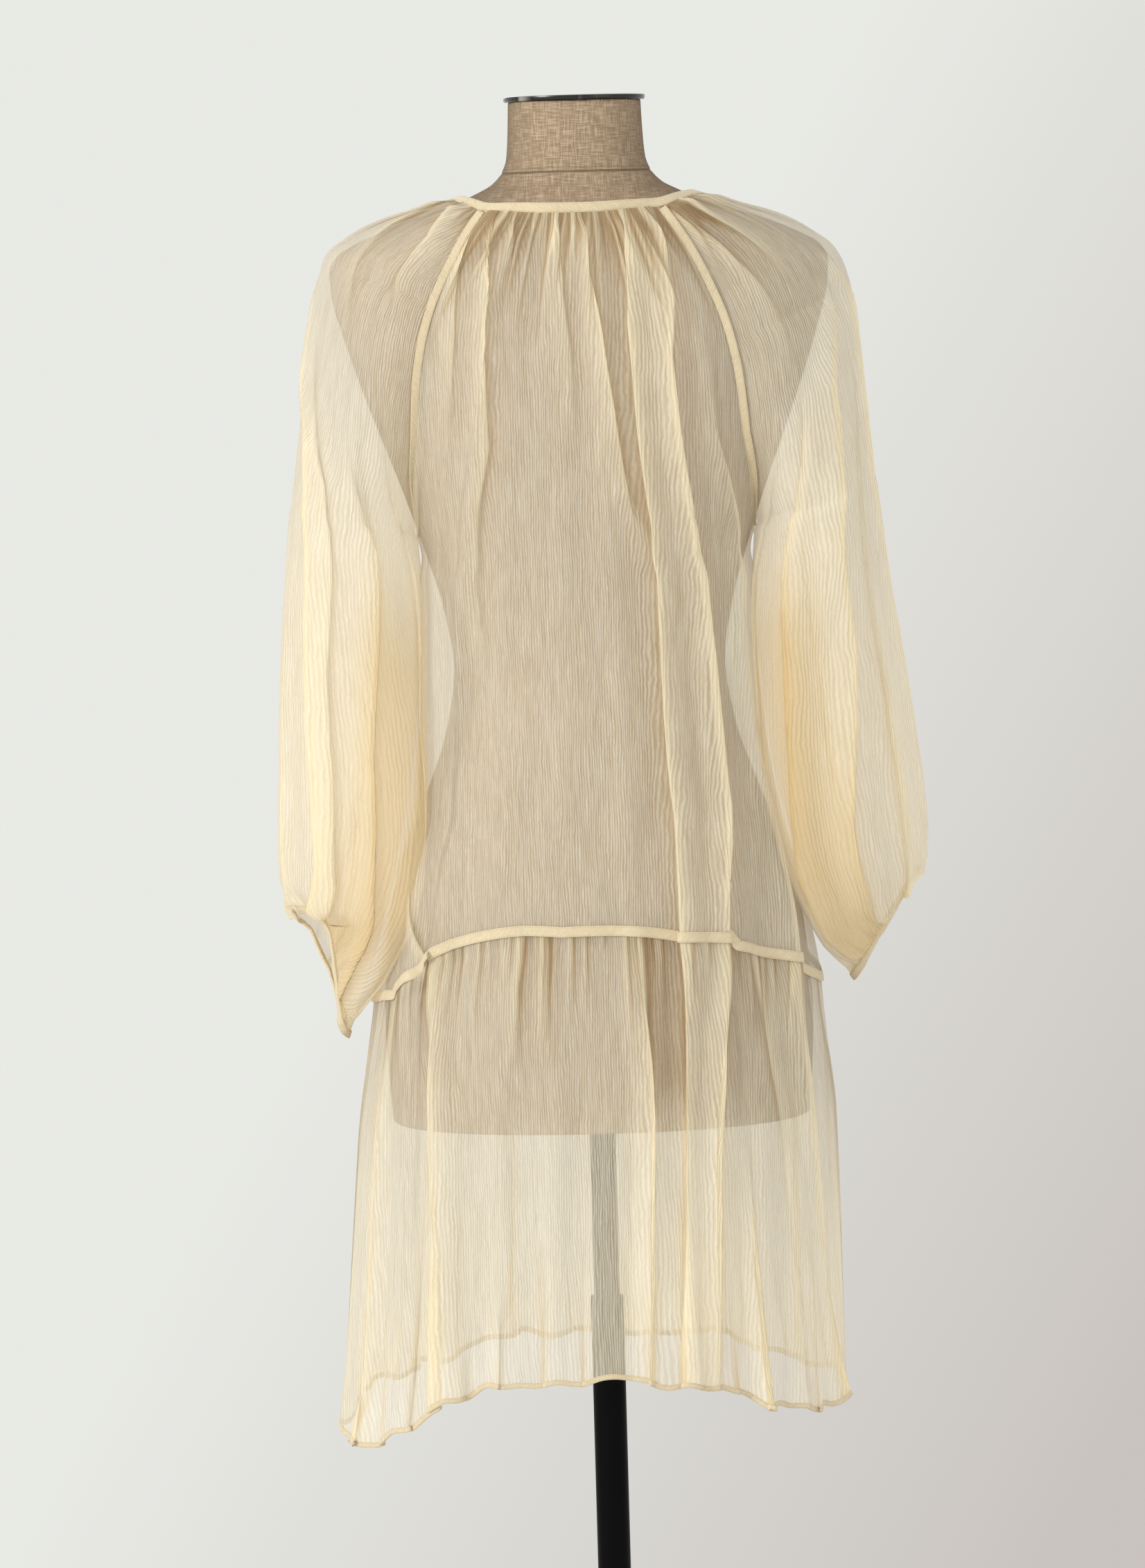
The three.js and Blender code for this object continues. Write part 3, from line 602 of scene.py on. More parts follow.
# how far the cloth hangs out from the pole's axis on each side
hangSections = table("z left right back front", [
    (1340, 0, 0, 100, 90), (1300, 0, 0, 111, 108), (1250, 0, 0, 114, 124), (1200, 0, 0, 116, 132),
    (1155, 132, 132, 118, 134), (1100, 129, 129, 120, 135), (1030, 130, 132, 123, 137),
    (960, 136, 141, 126, 139), (900, 147, 156, 129, 141), (860, 159, 166, 131, 143),
    (800, 176, 175, 134, 145), (709, 184, 178, 138, 148), (616, 190, 178, 142, 151),
    (523, 196, 178, 146, 154), (450, 204, 182, 149, 157),
])
raglanSeams = table("z back front", [
    (1411, 72, 70), (1401, 80, 76), (1385, 91, 85), (1368, 101, 94), (1350, 110, 102),
    (1332, 117, 109), (1310, 123, 116), (1280, 128, 123), (1240, 131.5, 129), (1200, 135, 134),
    (1155, 131.5, 131.5),
])
sleeveColumns = "v seamBack seamFront outerX outerZ depth innerX innerY innerZ tilt"
rightSleeve = table(sleeveColumns, [
    (0.0, 1411, 1402, 99, 1420, 56, 0, 0, 0, 0), (0.05, 1400, 1390, 124, 1411, 62, 0, 0, 0, 0),
    (0.1, 1386, 1374, 152, 1402, 68, 0, 0, 0, 0), (0.15, 1370, 1356, 178, 1391, 75, 0, 0, 0, 0),
    (0.2, 1350, 1336, 197, 1378, 82, 0, 0, 0, 0), (0.25, 1324, 1312, 207, 1359, 87, 0, 0, 0, 0),
    (0.31, 1290, 1282, 213, 1330, 90, 0, 0, 0, 0), (0.37, 1250, 1246, 217, 1288, 91, 0, 0, 0, 0),
    (0.43, 1207, 1206, 221, 1236, 89, 0, 0, 0, 0), (0.46, 1183, 1183, 224, 1208, 88, 0, 0, 0, 0),
    (0.475, 1168, 1168, 226, 1193, 87, 0, 0, 0, 0),
    (0.49, 1155, 1155, 228, 1178, 86, 136, 0, 1155, 0),
    (0.58, 0, 0, 237, 1098, 80, 139, -4, 1075, 0), (0.67, 0, 0, 250, 1016, 75, 143, -9, 994, 0),
    (0.76, 0, 0, 258, 955, 68, 156, -13, 915, 0), (0.85, 0, 0, 260, 917, 57, 176, -13, 853, 0.03),
    (0.93, 0, 0, 259, 899, 43, 189, -10, 822, 0.08), (1.0, 0, 0, 255, 892, 30, 198, -8, 808, 0.1),
], "v tilt")
leftSleeve = table(sleeveColumns, [
    (0.0, 1411, 1402, 99, 1420, 56, 0, 0, 0, 0), (0.05, 1400, 1390, 124, 1411, 62, 0, 0, 0, 0),
    (0.1, 1386, 1374, 152, 1402, 68, 0, 0, 0, 0), (0.15, 1370, 1356, 178, 1391, 75, 0, 0, 0, 0),
    (0.2, 1350, 1336, 196, 1378, 82, 0, 0, 0, 0), (0.25, 1324, 1312, 202, 1357, 87, 0, 0, 0, 0),
    (0.31, 1290, 1282, 207, 1325, 90, 0, 0, 0, 0), (0.37, 1250, 1246, 214, 1280, 91, 0, 0, 0, 0),
    (0.43, 1207, 1206, 221, 1230, 89, 0, 0, 0, 0), (0.46, 1183, 1183, 225, 1203, 88, 0, 0, 0, 0),
    (0.475, 1168, 1168, 228, 1189, 87, 0, 0, 0, 0),
    (0.49, 1155, 1155, 230, 1175, 86, 136, 0, 1155, 0),
    (0.58, 0, 0, 238, 1090, 80, 139, -4, 1070, 0), (0.67, 0, 0, 244, 1002, 75, 144, -9, 986, 0),
    (0.76, 0, 0, 246, 936, 68, 159, -14, 898, 0.08), (0.85, 0, 0, 246, 898, 58, 176, -18, 832, 0.22),
    (0.93, 0, 0, 243, 878, 45, 189, -22, 793, 0.48), (1.0, 0, 0, 240, 867, 32, 195, -24, 774, 0.7),
], "v tilt")

shape = {
    "roundness": 2.25,  # superellipse exponent of each section
    "ease": 0.0016,
    "underarmZ": 1.155,
    "seamCentreZ": 0.863,
    "seamSideZ": 0.812,
    "neckline": {"back": (1.409, 1.411), "front": (1.383, 1.402)},
    "hem": {"back": (0.525, 0.474), "front": (0.503, 0.474)},
    "looseOver": 0.03,  # how far below the underarm the body begins to hang freely
    # the back seam on the right lies a little nearer the middle: heights and shifts
    "backSeamShift": ((1.17, 1.24, 1.35, 1.411), (0, -0.006, -0.010, -0.008)),
}
# cloth away from a seam follows an eased line, in heights on the body and in v on a sleeve
easeSettings = {
    "heights": (0.98, 1.36, 0.001),
    "bodyReach": 80,
    "bodyFade": (1.33, 0.06),
    "sleeveSteps": 1001,
    "sleeveReach": 75,
    "sleeveFade": (0.25, 0.08),
    "edgePower": 6,
    "parting": 0.16,
    "meeting": (0, -0.008, 0),
}


def along(rows, key, at, name, used=None):
    # a smooth curve through a table's rows that never overshoots them
    x, y = rows[key], rows[name]
    if used is not None:
        x, y = x[used], y[used]
    if x[0] > x[-1]:
        x, y = x[::-1], y[::-1]
    slope = np.diff(y) / np.diff(x)
    before, after = slope[:-1], slope[1:]
    total = before + after
    inner = np.where(before * after > 0, 2 * before * after / np.where(total == 0, 1, total), 0)
    tangent = np.concatenate([slope[:1], inner, slope[-1:]])
    at = np.clip(at, x[0], x[-1])
    i = np.clip(np.searchsorted(x, at, side="right") - 1, 0, len(x) - 2)
    width = x[i + 1] - x[i]
    s = (at - x[i]) / width
    return (
        (2 * s**3 - 3 * s**2 + 1) * y[i] + (s**3 - 2 * s**2 + s) * tangent[i] * width
        + (3 * s**2 - 2 * s**3) * y[i + 1] + (s**3 - s**2) * tangent[i + 1] * width
    )


def onSection(half, depth, angle):
    power = 2 / shape["roundness"]
    s, c = np.sin(angle), np.cos(angle)
    return half * np.sign(s) * np.abs(s) ** power, -depth * np.sign(c) * np.abs(c) ** power


def bodyExtents(z):
    def follow(name):
        return along(formSections, "z", z, name) + shape["ease"]

    def hang(name):
        return along(hangSections, "z", z, name)

    loose = smooth((shape["underarmZ"] - z) / shape["looseOver"])
    sides = [follow("half") + np.maximum(hang(n) - follow("half"), 0) * loose for n in ("left", "right")]
    return (*sides, np.maximum(follow("back"), hang("back")), np.maximum(follow("front"), hang("front")))


def angleAt(x, half):
    return np.arcsin(np.clip(np.abs(x) / half, 0, 1) ** (shape["roundness"] / 2)) * np.sign(x)


def arch(centre, side):
    return lambda u: centre + (side - centre) * np.sin(np.clip(np.abs(u), 0, 1) * np.pi / 2) ** 2


def unit(vectors):
    return vectors / np.maximum(np.linalg.norm(vectors, axis=-1, keepdims=True), 1e-12)


def smooth(t):
    t = np.clip(t, 0, 1)
    return t * t * (3 - 2 * t)


def shifted(line, steps, ripple=0.0):
    places = np.array(steps, float)

    def moved(u):
        wave = np.sin(23 * u + 1.3) + 0.7 * np.sin(41 * u + 0.4) + 0.5 * np.sin(67 * u + 2.2)
        return line(u) + (np.interp(u, places[:, 0], places[:, 1]) + ripple * wave * (1 - u**8)) / 1000

    return moved


plainSeam = arch(shape["seamCentreZ"], shape["seamSideZ"])
# millimetres up from the plain line; a quick change is a step that a fold hides
seamLines = {
    "back": shifted(plainSeam, [
        (-1, -11), (-0.78, -11.5), (-0.7, -14), (-0.685, -9), (-0.584, -6), (-0.535, -2.5), (-0.515, 6.5),
        (-0.443, 9), (-0.367, 8), (-0.27, 6), (-0.197, 4), (-0.083, -1.5), (0.1, -2), (0.22, -3),
        (0.365, 3), (0.385, -2), (0.55, 1), (0.675, 3), (0.695, -2), (1, -5),
    ]),
    "front": shifted(plainSeam, [(-1, -5), (-0.7, 2), (-0.4, 0), (0, -2), (0.5, 1), (1, -11)]),
}
hemLines = {
    "back": shifted(arch(*shape["hem"]["back"]), [
        (-1, -4), (-0.85, -8), (-0.76, -20), (-0.66, -25), (-0.56, -23), (-0.5, -19), (-0.45, -12),
        (-0.38, -4),
        (-0.2, -5), (0, -7), (0.24, -8), (0.38, -11), (0.5, -12), (0.6, -10), (0.7, 1), (0.82, 12),
        (0.93, 20),
        (1, 21),
    ], 1.9),
    "front": shifted(arch(*shape["hem"]["front"]), [
        (-1, 21), (-0.8, 10), (-0.55, -4), (-0.3, 3), (-0.05, -3), (0.2, 4), (0.5, -5), (0.75, -2),
        (1, -4),
    ], 1.9),
}


def easing(places, sharp, reach, keep):
    # how far a sharply turning line is from a calm one, for the cloth away from the seam
    window = np.hanning(2 * reach + 1)
    ends = np.concatenate([np.full(reach, sharp[0]), sharp, np.full(reach, sharp[-1])])
    calm = np.convolve(ends, window / window.sum(), "valid")
    return lambda at: np.interp(at, places, (calm - sharp) * keep)


def panelSurface(face, topLine, bottomLine):
    sign = 1 if face == "back" else -1

    def edgeAngle(z, half, right):
        seam = np.minimum(along(raglanSeams, "z", z, face) + np.where(right, seamShift(face, z), 0), half)
        return angleAt(np.where(z > shape["underarmZ"], seam, half), half)

    heights = np.arange(*easeSettings["heights"])
    sharp = edgeAngle(heights, bodyExtents(heights)[1], False)
    top, over = easeSettings["bodyFade"]
    eased = easing(heights, sharp, easeSettings["bodyReach"], smooth((top - heights) / over))

    def surface(u, v):
        z = topLine(u) + (bottomLine(u) - topLine(u)) * v
        left, right, back, front = bodyExtents(z)
        half = np.where(sign * u < 0, left, right)
        inner = 1 - np.abs(u) ** easeSettings["edgePower"]
        angle = sign * u * (edgeAngle(z, half, sign * u > 0) + eased(z) * inner)
        x, y = onSection(half, back if face == "back" else front, angle)
        return np.stack([x, sign * y, z], -1)

    return surface


def seamShift(face, z):
    return np.interp(z, *shape["backSeamShift"]) if face == "back" else 0 * z


def raglanPoint(face, z, isRight):
    _, right, back, front = bodyExtents(z)
    seam = along(raglanSeams, "z", z, face) + (seamShift(face, z) if isRight else 0)
    angle = angleAt(np.minimum(seam, right), right)
    x, y = onSection(right, back if face == "back" else front, angle)
    return np.stack([x, y if face == "back" else -y, z], -1)


def sleeveSurface(rows, isRight):
    cap, tube = rows["seamBack"] > 0, rows["innerX"] > 0
    underarm = rows["v"][tube][0]
    clear = rows["innerX"][tube][0] - along(raglanSeams, "z", shape["underarmZ"], "back")

    def openingAt(v):
        back = raglanPoint("back", along(rows, "v", v, "seamBack", cap), isRight)
        front = raglanPoint("front", along(rows, "v", v, "seamFront", cap), isRight)
        halfGap = np.where(v < underarm, np.linalg.norm(back - front, axis=-1) / 2, 0)
        depth = np.maximum(along(rows, "v", v, "depth"), halfGap)
        return back, front, depth, np.arcsin(np.clip(halfGap / depth, 0, 1))

    fine = np.linspace(0, 1, easeSettings["sleeveSteps"])
    begin, over = easeSettings["sleeveFade"]
    eased = easing(fine, openingAt(fine)[3], easeSettings["sleeveReach"], smooth((fine - begin) / over))

    def surface(u, v):
        if not isRight:
            u = 1 - u
        zero = np.zeros_like(v)

        def at(name, used=None):
            return along(rows, "v", v, name, used)

        outer = np.stack([at("outerX"), zero, at("outerZ")], -1)
        back, front, depth, opening = openingAt(v)
        inCap = (v < underarm)[..., None]
        capMiddle = (back + front) / 2
        parting = clear * (1 - smooth((v - underarm) / easeSettings["parting"]))
        tubeMiddle = np.stack([at("innerX", tube) - parting, at("innerY", tube), at("innerZ", tube)], -1)
        middle = np.where(inCap, capMiddle, tubeMiddle)
        # the small step keeps the direction where the seam's two sides meet
        spread = unit(back - front + np.array(easeSettings["meeting"]))
        across = np.where(inCap, spread, unit(np.stack([zero, zero - 1, at("tilt")], -1)))
        reach = (outer - middle) / (1 + np.cos(opening))[..., None]
        inner = 1 - np.abs(2 * u - 1) ** easeSettings["edgePower"]
        angle = 2 * np.pi * u + (1 - 2 * u) * (opening + eased(v) * inner)
        spoke = -np.cos(angle)[..., None] * reach + (depth * np.sin(angle))[..., None] * across
        points = outer - reach + spoke
        return points if isRight else points * np.array([-1, 1, 1])

    return surface


# ---- sheets ----

mergeDistance = 2e-5
foldShape = {
    # places and widths are in the fold's own widths, and run on from its edge
    "riseWidth": 1.6,
    "begin": 0.5,
    "doubled": 0.6,
    "band": (0.5, 0.8, 0.8),
    # where painted shade lies beside a fold: a narrow line in its recess and a wider, softer band
    "recessShade": (0.95, 0.5),
    "hollowShade": (2.3, 1.5),
    "most": 1.3,
    "taper": 10,
    "lead": 3.0,
    # what is left of a fold at a bound edge, and over how much of the sheet it grows
    "topHold": (0.25, 0.03),
    "bottomHold": (0.1, 0.055),
}
rollShape = {"parts": 5, "wave": (0.6, 1.6), "phase": (0, 6.3), "slant": (-2.5, 2.5), "lead": 8}
gatherShape = {
    "place": (0.15, 0.85),
    "reach": (0.3, 1.0),
    "reachPower": 1.5,
    "wide": (0.6, 1.3),
    "leftShare": 0.55,
    "lean": (-0.06, 0.02),
    "high": (0.45, 1.0),
    # dark is how strongly shade is painted in each gather's recess
    "dark": (0.4, 1.3),
    "middle": (0.4, 0.65),  # where it is part faded, and its strength there
    "plain": {"over": 0.95, "tint": 0.8, "spread": 1.0, "deep": 0.35},
}


def makeMesh(name, points, layers, wrapU=False, wrapV=False):
    # a grid laid on rows of points; layers are the UV maps and the attributes of its points
    rows, columns = points.shape[0] - 1, points.shape[1] - 1
    bm = bmesh.new()
    bmesh.ops.create_grid(bm, x_segments=columns, y_segments=rows, size=0.5)
    mesh = bpy.data.meshes.new(name)
    bm.to_mesh(mesh)
    bm.free()
    flat = np.zeros(len(mesh.vertices) * 3)
    mesh.vertices.foreach_get("co", flat)
    flat = flat.reshape(-1, 3)
    column = np.rint((flat[:, 0] + 0.5) * columns).astype(int)
    row = np.rint((0.5 - flat[:, 1]) * rows).astype(int)
    mesh.vertices.foreach_set("co", points[row, column].ravel())
    corners = np.zeros(len(mesh.loops), int)
    mesh.loops.foreach_get("vertex_index", corners)
    for label, values in layers.items():
        if values.ndim == 3:
            values = values[row, column][corners]
            mesh.uv_layers.new(name=label).data.foreach_set("uv", values.ravel())
        else:
            mesh.attributes.new(label, "FLOAT", "POINT").data.foreach_set("value", values[row, column])
    if wrapU or wrapV:
        bm = bmesh.new()
        bm.from_mesh(mesh)
        bmesh.ops.remove_doubles(bm, verts=bm.verts, dist=mergeDistance)
        bm.to_mesh(mesh)
        bm.free()
    mesh.update()
    for polygon in mesh.polygons:
        polygon.use_smooth = True
    return mesh


def addPiece(name, mesh, finish, node, body):
    piece = bpy.data.objects.new(name, mesh)
    bpy.context.scene.collection.objects.link(piece)
    mesh.materials.append(finish)
    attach(piece, body)
    if node:
        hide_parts(node)
    return piece


def foldSheet(base, u, v, soft, folds, edges, drift, bound, start=None):
    # base is rows of points; soft raises it, folds turn it over on itself, edges gather it
    down = np.gradient(base, axis=0)
    across = np.gradient(base, axis=1)
    out = unit(np.cross(down, across))
    side = unit(across)
    steps = np.linalg.norm(np.diff(base, axis=1), axis=-1)
    s = np.concatenate([np.zeros((len(base), 1)), np.cumsum(steps, axis=1)], axis=1)
    rise, slide = soft.copy(), np.zeros_like(s)
    pleat, recessShade, hollowShade = np.zeros_like(s), np.zeros_like(s), np.zeros_like(s)
    rowU, rowV = u[0], v[:, 0]
    for fold in folds + edges:
        places = np.array(fold["at"], float)
        centreU = np.interp(rowV, places[:, 0], places[:, 1])
        strength = np.interp(rowV, places[:, 0], places[:, 2])
        centre = np.array([np.interp(cu, rowU, row) for cu, row in zip(centreU, s)])
        q = (s - centre[:, None]) / fold["width"]
        k = strength[:, None]
        slide -= k * fold["over"] * fold["width"] * q * np.exp((1 - q * q) / 2)
        rise += k * fold["rise"] * np.exp(-(((q + fold["top"]) / foldShape["riseWidth"]) ** 2))
        # the doubled cloth behind the fold's edge is dense, the cloth it hides behind is thin
        overlap = -q * fold["top"]
        begun = np.exp(-((overlap / foldShape["begin"]) ** 2))
        doubled = np.where(overlap > 0, np.exp(-overlap / fold["spread"]), begun)
        amount, place, wide = foldShape["band"]
        band = amount * np.exp(-(((overlap - place) / wide) ** 2))
        pleat += k * fold["tint"] * (foldShape["doubled"] * doubled + band)
        # painted shade: a narrow ochre line in the recess beside the fold's edge
        place, wide = foldShape["recessShade"]
        recessShade += k * fold["dark"] * np.exp(-(((overlap + place) / wide) ** 2))
        # painted shade: a wider, softer band beside the fold
        place, wide = foldShape["hollowShade"]
        hollowShade += k * fold["dark"] * fold["deep"] * np.exp(-(((overlap + place) / wide) ** 2))
    rise += drift(s, v)
    hold = 1 - np.abs(2 * (u - rowU[0]) / (rowU[-1] - rowU[0]) - 1) ** foldShape["taper"]
    for isBound, name, inward in zip(bound, ("topHold", "bottomHold"), (v, 1 - v)):
        left, over = foldShape[name]
        if isBound:
            hold = hold * (left + (1 - left) * smooth(inward / over))
    lift = out * (rise * hold)[..., None] + side * (slide * hold)[..., None]
    if start is not None:
        fade = smooth(v * foldShape["lead"])[..., None]
        lift = lift * fade + start * (1 - fade)
    points = base + lift
    middle = s[:, s.shape[1] // 2][:, None]
    marks = {"pleat": np.clip(pleat, 0, foldShape["most"]), "recessShade": np.clip(recessShade, 0, foldShape["most"])}
    # the shade mark is painted shade, the recess line and the wider band together
    marks["shade"] = marks["recessShade"] + hollowShade
    return points, s - middle, marks, lift


def wander(seed, height, wave):
    # slow, uneven rolls across a sheet
    draw = np.random.default_rng(seed)
    count = rollShape["parts"]
    parts = [[draw.uniform(*rollShape[name]) for name in ("wave", "phase", "slant")] for _ in range(count)]

    def drift(s, v):
        total = sum(np.sin(2 * np.pi * s / wave * k + p + t * v) for k, p, t in parts)
        return height * (1 + total / count) * smooth(v * rollShape["lead"])

    return drift


def gathers(seed, count, span, width, rise, length, atTop=True):
    # small pleats that run out from a gathered edge
    draw = np.random.default_rng(seed)
    made = []
    middle, strength = gatherShape["middle"]
    for i in range(count):
        u = span[0] + (span[1] - span[0]) * (i + draw.uniform(*gatherShape["place"])) / count
        reach = length * draw.uniform(*gatherShape["reach"]) ** gatherShape["reachPower"]
        wide = width * draw.uniform(*gatherShape["wide"])
        turn = 1 if draw.random() < gatherShape["leftShare"] else -1
        lean = u * (1 + draw.uniform(*gatherShape["lean"]))
        high = rise * draw.uniform(*gatherShape["high"])
        places = [(0, u, 1), (reach * middle, (u + lean) / 2, strength), (reach, lean, 0), (1, lean, 0)]
        if not atTop:
            places = [(1 - v, w, k) for v, w, k in reversed(places)]
        dark = draw.uniform(*gatherShape["dark"])
        sizes = {"width": wide, "rise": high, "top": turn, "dark": dark}
        made.append({**gatherShape["plain"], **sizes, "at": places})
    return made


# dark is how strongly shade is painted in the fold's recess and beside it
def fold(width, over, rise, top, *at, dark=0.45):
    sizes = {"width": width / 1000, "over": over, "rise": rise / 1000, "top": top}
    return {**sizes, "at": list(at), "tint": 1.0, "spread": 3.0, "dark": dark, "deep": 0.5}


def softFolds(rows, points, v):
    # broad folds as in the solid: each runs from topX to bottomX and stands out by its height
    rows = np.array(rows, float)
    total = np.zeros_like(v)
    for topX, bottomX, width, top, bottom in rows:
        centre = (topX + (bottomX - topX) * v) / 1000
        away = (points[..., 0] - centre) / width * 1000
        total += (top + (bottom - top) * v) / 1000 * np.exp(-(away**2))
    return total


onTop, under = 1, -1  # which side of a fold's line lies over the other: the left or the right

bodyPanels = {
    "back": {
        "columns": 600, "rows": 130,
        "soft": [
            (-83, -140, 11, 3, 7), (-64, -121, 10, 5, 6), (-48, -74, 12, 4, 2), (-14, -22, 12, 3, 1),
            (12, 28, 10, 4, 3), (34, 74, 13, 6, 11), (52, 104, 13, 6, 10), (80, 142, 12, 3, 8),
        ],
        "folds": [
            fold(4.0, 0.95, 4, onTop, (0, -0.96, 1), (0.05, -0.9, 1), (0.153, -0.73, 0.8),
                (0.3, -0.643, 0)),
            fold(4.5, 1.15, 5, onTop, (0, -0.79, 1), (0.103, -0.565, 1), (0.32, -0.424, 0.9),
                (0.46, -0.422, 0.45), (0.66, -0.38, 0)),
            fold(3.4, 0.9, 3.5, onTop, (0, -0.585, 1), (0.04, -0.49, 0.8), (0.12, -0.46, 0)),
            fold(3.4, 0.9, 3.5, onTop, (0, -0.155, 1), (0.083, -0.095, 0.8), (0.19, -0.04, 0.5),
                (0.34, -0.02, 0)),
            fold(4.2, 1.05, 5, onTop, (0, 0.025, 1), (0.163, 0.095, 1), (0.277, 0.132, 1),
                (0.39, 0.153, 0.9), (0.50, 0.204, 0)),
            fold(3.4, 0.8, 4, under, (0, 0.27, 1), (0.06, 0.27, 0.6), (0.14, 0.27, 0)),
            fold(4.8, 1.25, 6, under, (0, 0.42, 0.8), (0.057, 0.36, 1), (0.163, 0.265, 1),
                (0.373, 0.231, 1), (0.483, 0.223, 1), (0.557, 0.225, 1), (0.72, 0.23, 1),
                (0.833, 0.235, 1), (1, 0.21, 1)),
            fold(5.2, 1.3, 7, onTop, (0, 0.8, 0.7), (0.05, 0.7, 0.9), (0.197, 0.48, 1),
                (0.273, 0.451, 1), (0.413, 0.4, 1), (0.503, 0.41, 1), (0.6, 0.43, 1), (0.707, 0.44, 1),
                (0.807, 0.435, 1), (0.933, 0.37, 1), (1, 0.35, 1)),
            fold(5.0, 1.1, 5, onTop, (0.25, -0.88, 0), (0.4, -0.87, 0.6), (0.573, -0.82, 0.9),
                (0.783, -0.72, 1), (0.85, -0.68, 1), (0.907, -0.63, 1), (1, -0.515, 1), dark=0.3),
            fold(5.0, 0.95, 5, onTop, (0.15, 0.8, 0), (0.30, 0.703, 0.6), (0.55, 0.66, 0.8),
                (0.8, 0.7, 0.8), (1, 0.64, 0.8)),
        ],
        "gathers": (11, 50, (-0.97, 0.97), 0.0017, 0.0036, 0.20),
        "drift": (21, 0.0011, 0.055), "tight": 0.25,
    },
    "front": {
        "columns": 380, "rows": 120,
        "soft": [
            (-76, -138, 12, 3, 8), (-52, -96, 13, 5, 9), (-27, -52, 12, 5, 6), (0, -4, 11, 3, 4),
            (25, 46, 12, 5, 7), (50, 92, 13, 5, 10), (75, 136, 12, 3, 8),
        ],
        "folds": [
            fold(4.2, 1.0, 5, onTop, (0, -0.8, 1), (0.2, -0.656, 1), (0.6, -0.6, 0.8), (1, -0.58, 0.8)),
            fold(4.2, 1.1, 5, under, (0, -0.42, 1), (0.3, -0.352, 1), (0.7, -0.33, 0.9), (1, -0.32, 0.9)),
            fold(3.6, 0.9, 4, onTop, (0, -0.12, 1), (0.2, -0.089, 0.8), (0.45, -0.074, 0)),
            fold(4.4, 1.1, 5, under, (0, 0.22, 1), (0.25, 0.166, 1), (0.8, 0.14, 0.6), (1, 0.13, 0.4)),
            fold(4.6, 1.1, 5, onTop, (0, 0.56, 1), (0.3, 0.449, 1), (0.7, 0.44, 0.9), (1, 0.42, 0.9)),
            fold(4.6, 1.0, 5, under, (0.1, 0.86, 0), (0.3, 0.786, 0.8), (1, 0.72, 0.8)),
        ],
        "gathers": (12, 50, (-0.97, 0.97), 0.0018, 0.0036, 0.20),
        "drift": (22, 0.0012, 0.06), "tight": 0.25,
    },
}
